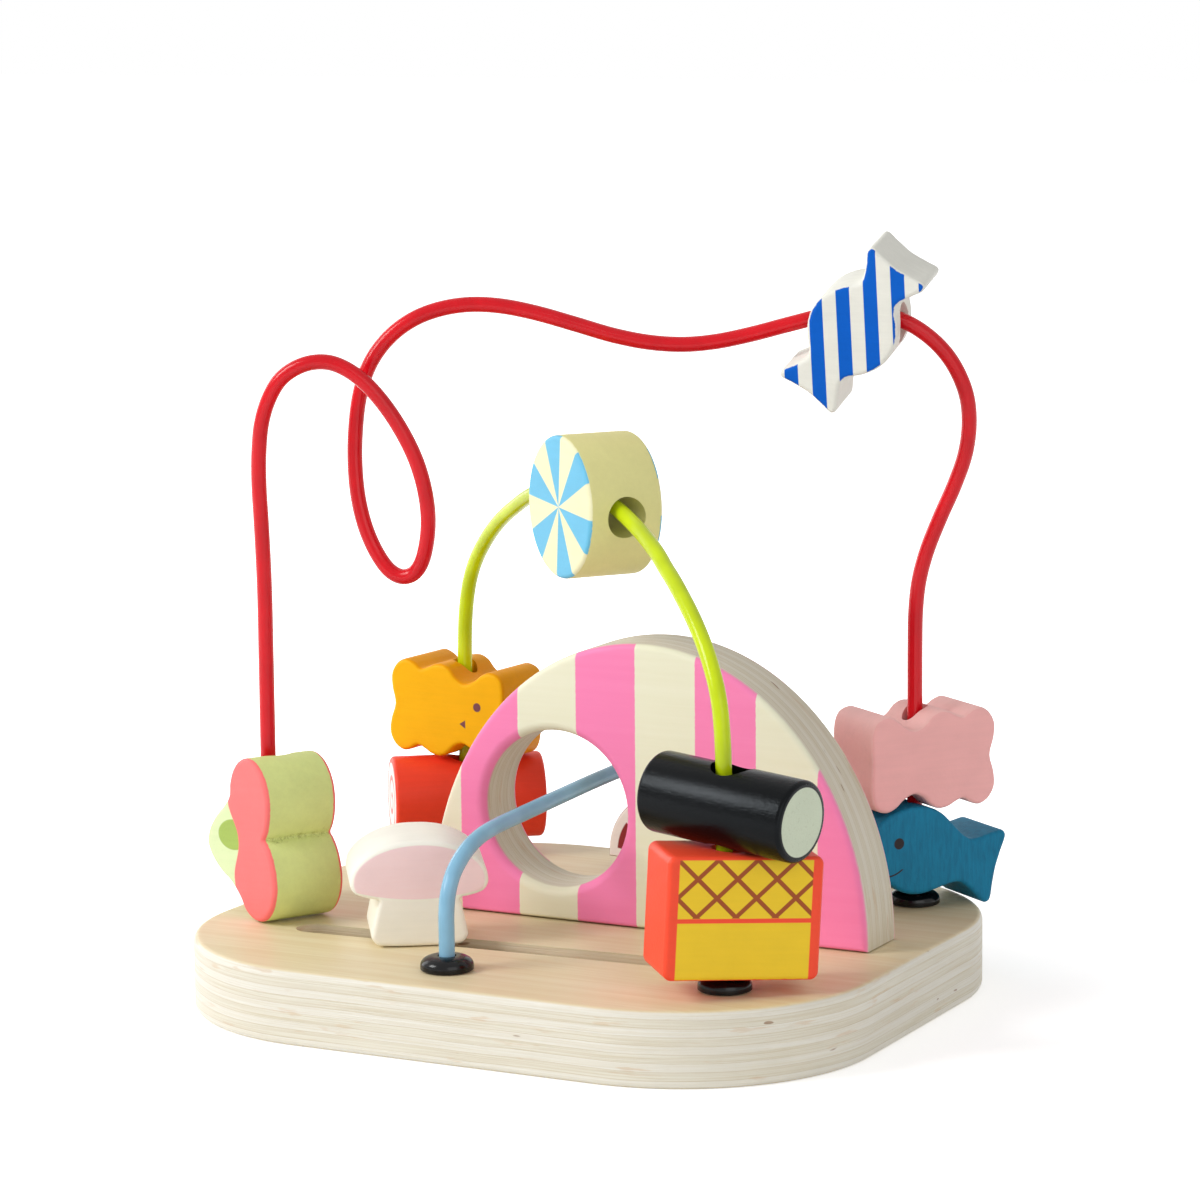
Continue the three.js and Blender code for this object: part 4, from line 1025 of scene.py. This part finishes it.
def toadstool_paint(put, at, x, y, face):
    """Matt cream paint; the pale pink print stops just inside the cap's rim and at a line below the cap."""
    reach = (STOOL_CAP - STOOL_RIM, STOOL_H * (1 - STOOL_WIDEST) - STOOL_RIM)
    dome = from_spot(put, at, (0, STOOL_H * STOOL_WIDEST), reach)
    dome = put("RAMP", [dome, 1.01, 0.99])
    below = put("MULTIPLY_ADD", [put("MULTIPLY", [x, x]), -0.009, y])
    below = put("RAMP", [below, 11.4, 11.6])
    cap = put("MULTIPLY", [dome, below])
    return put("BLEND", [put("MULTIPLY", [cap, face]), "fdfaee", "ffe0e2"]), 0.55


outline = bent([*STOOL_SIDE, (0, STOOL_H), *[(-x, y) for x, y in reversed(STOOL_SIDE)]], closed=True)
upward = Matrix.Rotation(-math.pi / 2, 4, "X")
pin_hole = bit(PIN_D / 2 + FIT + PIN_PLAY, -1, PIN_DEPTH + FIT, upward)
stool = bead("toadstool_slider_painted", outline, pin_hole)
stool_up = STOOL_LIFT + STOCK / 2 * math.sin(STOOL_LEAN)
stool_out = -PIN_DEPTH / 2 * math.sin(STOOL_LEAN)
stool_place = standing(STOOL_AT, STOOL_AZIMUTH, stool_up, out=stool_out, tilt=-math.degrees(STOOL_LEAN))
stool_coat = painted("sprayed_beech_toadstool", stool_place, toadstool_paint, show=0.04)
fitted(stool, stool_place, stool_coat, "toadstool", "toadstool_paint", "toadstool_slider")

# Runner of the toadstool: one turned beech piece, left bare, with a flange that runs in the channel, a
# neck in the slot and a pin.
RUNNER_D = 16.6
RUNNER_T = 4.0
RUNNER_NECK = 7.6
RUNNER_EASE = 0.4
PIN_EASE = 0.5
runner_top = PLY - GROOVE_LIP - 2 * FIT
pin_top = PLY + STOOL_LIFT + PIN_DEPTH
runner_foot = runner_top - RUNNER_T
runner_profile = [
    (0, runner_foot), (RUNNER_D / 2 - RUNNER_EASE, runner_foot), (RUNNER_D / 2, runner_foot + RUNNER_EASE),
    (RUNNER_D / 2, runner_top - RUNNER_EASE), (RUNNER_D / 2 - RUNNER_EASE, runner_top),
    (RUNNER_NECK / 2, runner_top), (RUNNER_NECK / 2, PLY), (PIN_D / 2, PLY),
    (PIN_D / 2, pin_top - PIN_EASE), (PIN_D / 2 - PIN_EASE, pin_top), (0, pin_top),
]
runner = turned("groove_runner_beech", runner_profile, 40, Matrix.Translation(STOOL_AT))
beech = two_tone("bare_turned_beech", ("e6cfa4", "cdb081"), (0.8, 0.8, 0.1), 4.0, 0.65, 0.06, IOR=1.5)
fitted(runner, Matrix(), beech, "runner", "plain_dowel", "groove_runner")

# Studio: a pale floor that fades into a white surround, a soft lamp from the left front, weaker ones from
# the right front and from the left, and the camera where the photograph was taken from.
FLOOR = 6.0
LENS = 127.66
EYE = (0.4700, -0.9027, 0.2558)
AZIMUTH = 27.34
ELEVATION = 8.86
ROLL = -0.52


def seen_rays(put):
    """One for the rays that come to the camera straight, by a reflection or through glass, and zero else."""
    paths = put("ShaderNodeLightPath").node.outputs
    seen = put("MAXIMUM", [paths["Is Camera Ray"], paths["Is Glossy Ray"]])
    return put("MAXIMUM", [seen, paths["Is Transmission Ray"]])


def pale_floor():
    """Matt white floor; the camera sees it lifted to white, with the shadow of the toy kept."""
    material, put = finish("pale_studio_floor")
    spot = put("ShaderNodeTexCoord").node.outputs["Object"]
    speck = put("NOISE", {"Vector": spot, "Scale": 40.0, "Detail": 2.0})
    tone = put("BLEND", [speck, "f6f6f6", "fafafa"])
    matt = put("ShaderNodeBsdfDiffuse", {"Color": tone})
    lift = put("SOFT_RAMP", [put("LENGTH", [spot]), 0.08, 0.35, 0.45, 1.0])
    lift = put("MULTIPLY", [seen_rays(put), lift])
    glow = put("ShaderNodeEmission", {"Color": (1, 1, 1, 1), "Strength": lift})
    both = put("ShaderNodeAddShader", [matt, glow])
    put("ShaderNodeOutputMaterial", {"Surface": both})
    return material


sheet = bpy.data.meshes.new("floor")
corners = [(FLOOR * x, FLOOR * y, 0) for x, y in ((-1, -1), (1, -1), (1, 1), (-1, 1))]
sheet.from_pydata(corners, [], [(0, 1, 2, 3)])
floor = linked("floor", sheet)
floor.data.materials.append(pale_floor())


def lamp(name, spot, aim, size, power):
    """Square soft lamp that looks at a point."""
    light = bpy.data.lights.new(name, "AREA")
    light.size = size
    light.energy = power
    thing = linked(name, light)
    thing.location = spot
    thing.rotation_euler = (Vector(aim) - Vector(spot)).to_track_quat("-Z", "Y").to_euler()


lamp("key_left", (-1.0, -0.95, 0.95), (0, 0, 0.06), 0.65, 15.0)
lamp("fill_front_right", (1.5, -1.2, 0.7), (0, 0, 0.08), 1.4, 8.2)
lamp("side_left", (-1.4, 0.45, 0.55), (0, 0.02, 0.08), 1.0, 6.0)

world = bpy.data.worlds.new("white_surround")
bpy.context.scene.world = world
world.use_nodes = True
world.node_tree.nodes.clear()
put = functools.partial(add, world.node_tree)
strength = put("RAMP", [seen_rays(put), 0.0, 1.0, 0.45, 1.0])
sky = put("ShaderNodeBackground", {"Color": (1, 1, 1, 1), "Strength": strength})
put("ShaderNodeOutputWorld", {"Surface": sky})
bpy.context.scene.view_settings.view_transform = "Standard"

lens = bpy.data.cameras.new("camera")
lens.sensor_width = 36.0
lens.lens = LENS
lens.clip_start = 0.05
camera = linked("camera", lens)
camera.matrix_world = Matrix.Translation(EYE)
for degrees, axis in ((AZIMUTH, "Z"), (90 - ELEVATION, "X"), (ROLL, "Z")):
    camera.matrix_world = camera.matrix_world @ Matrix.Rotation(math.radians(degrees), 4, axis)
bpy.context.scene.camera = camera
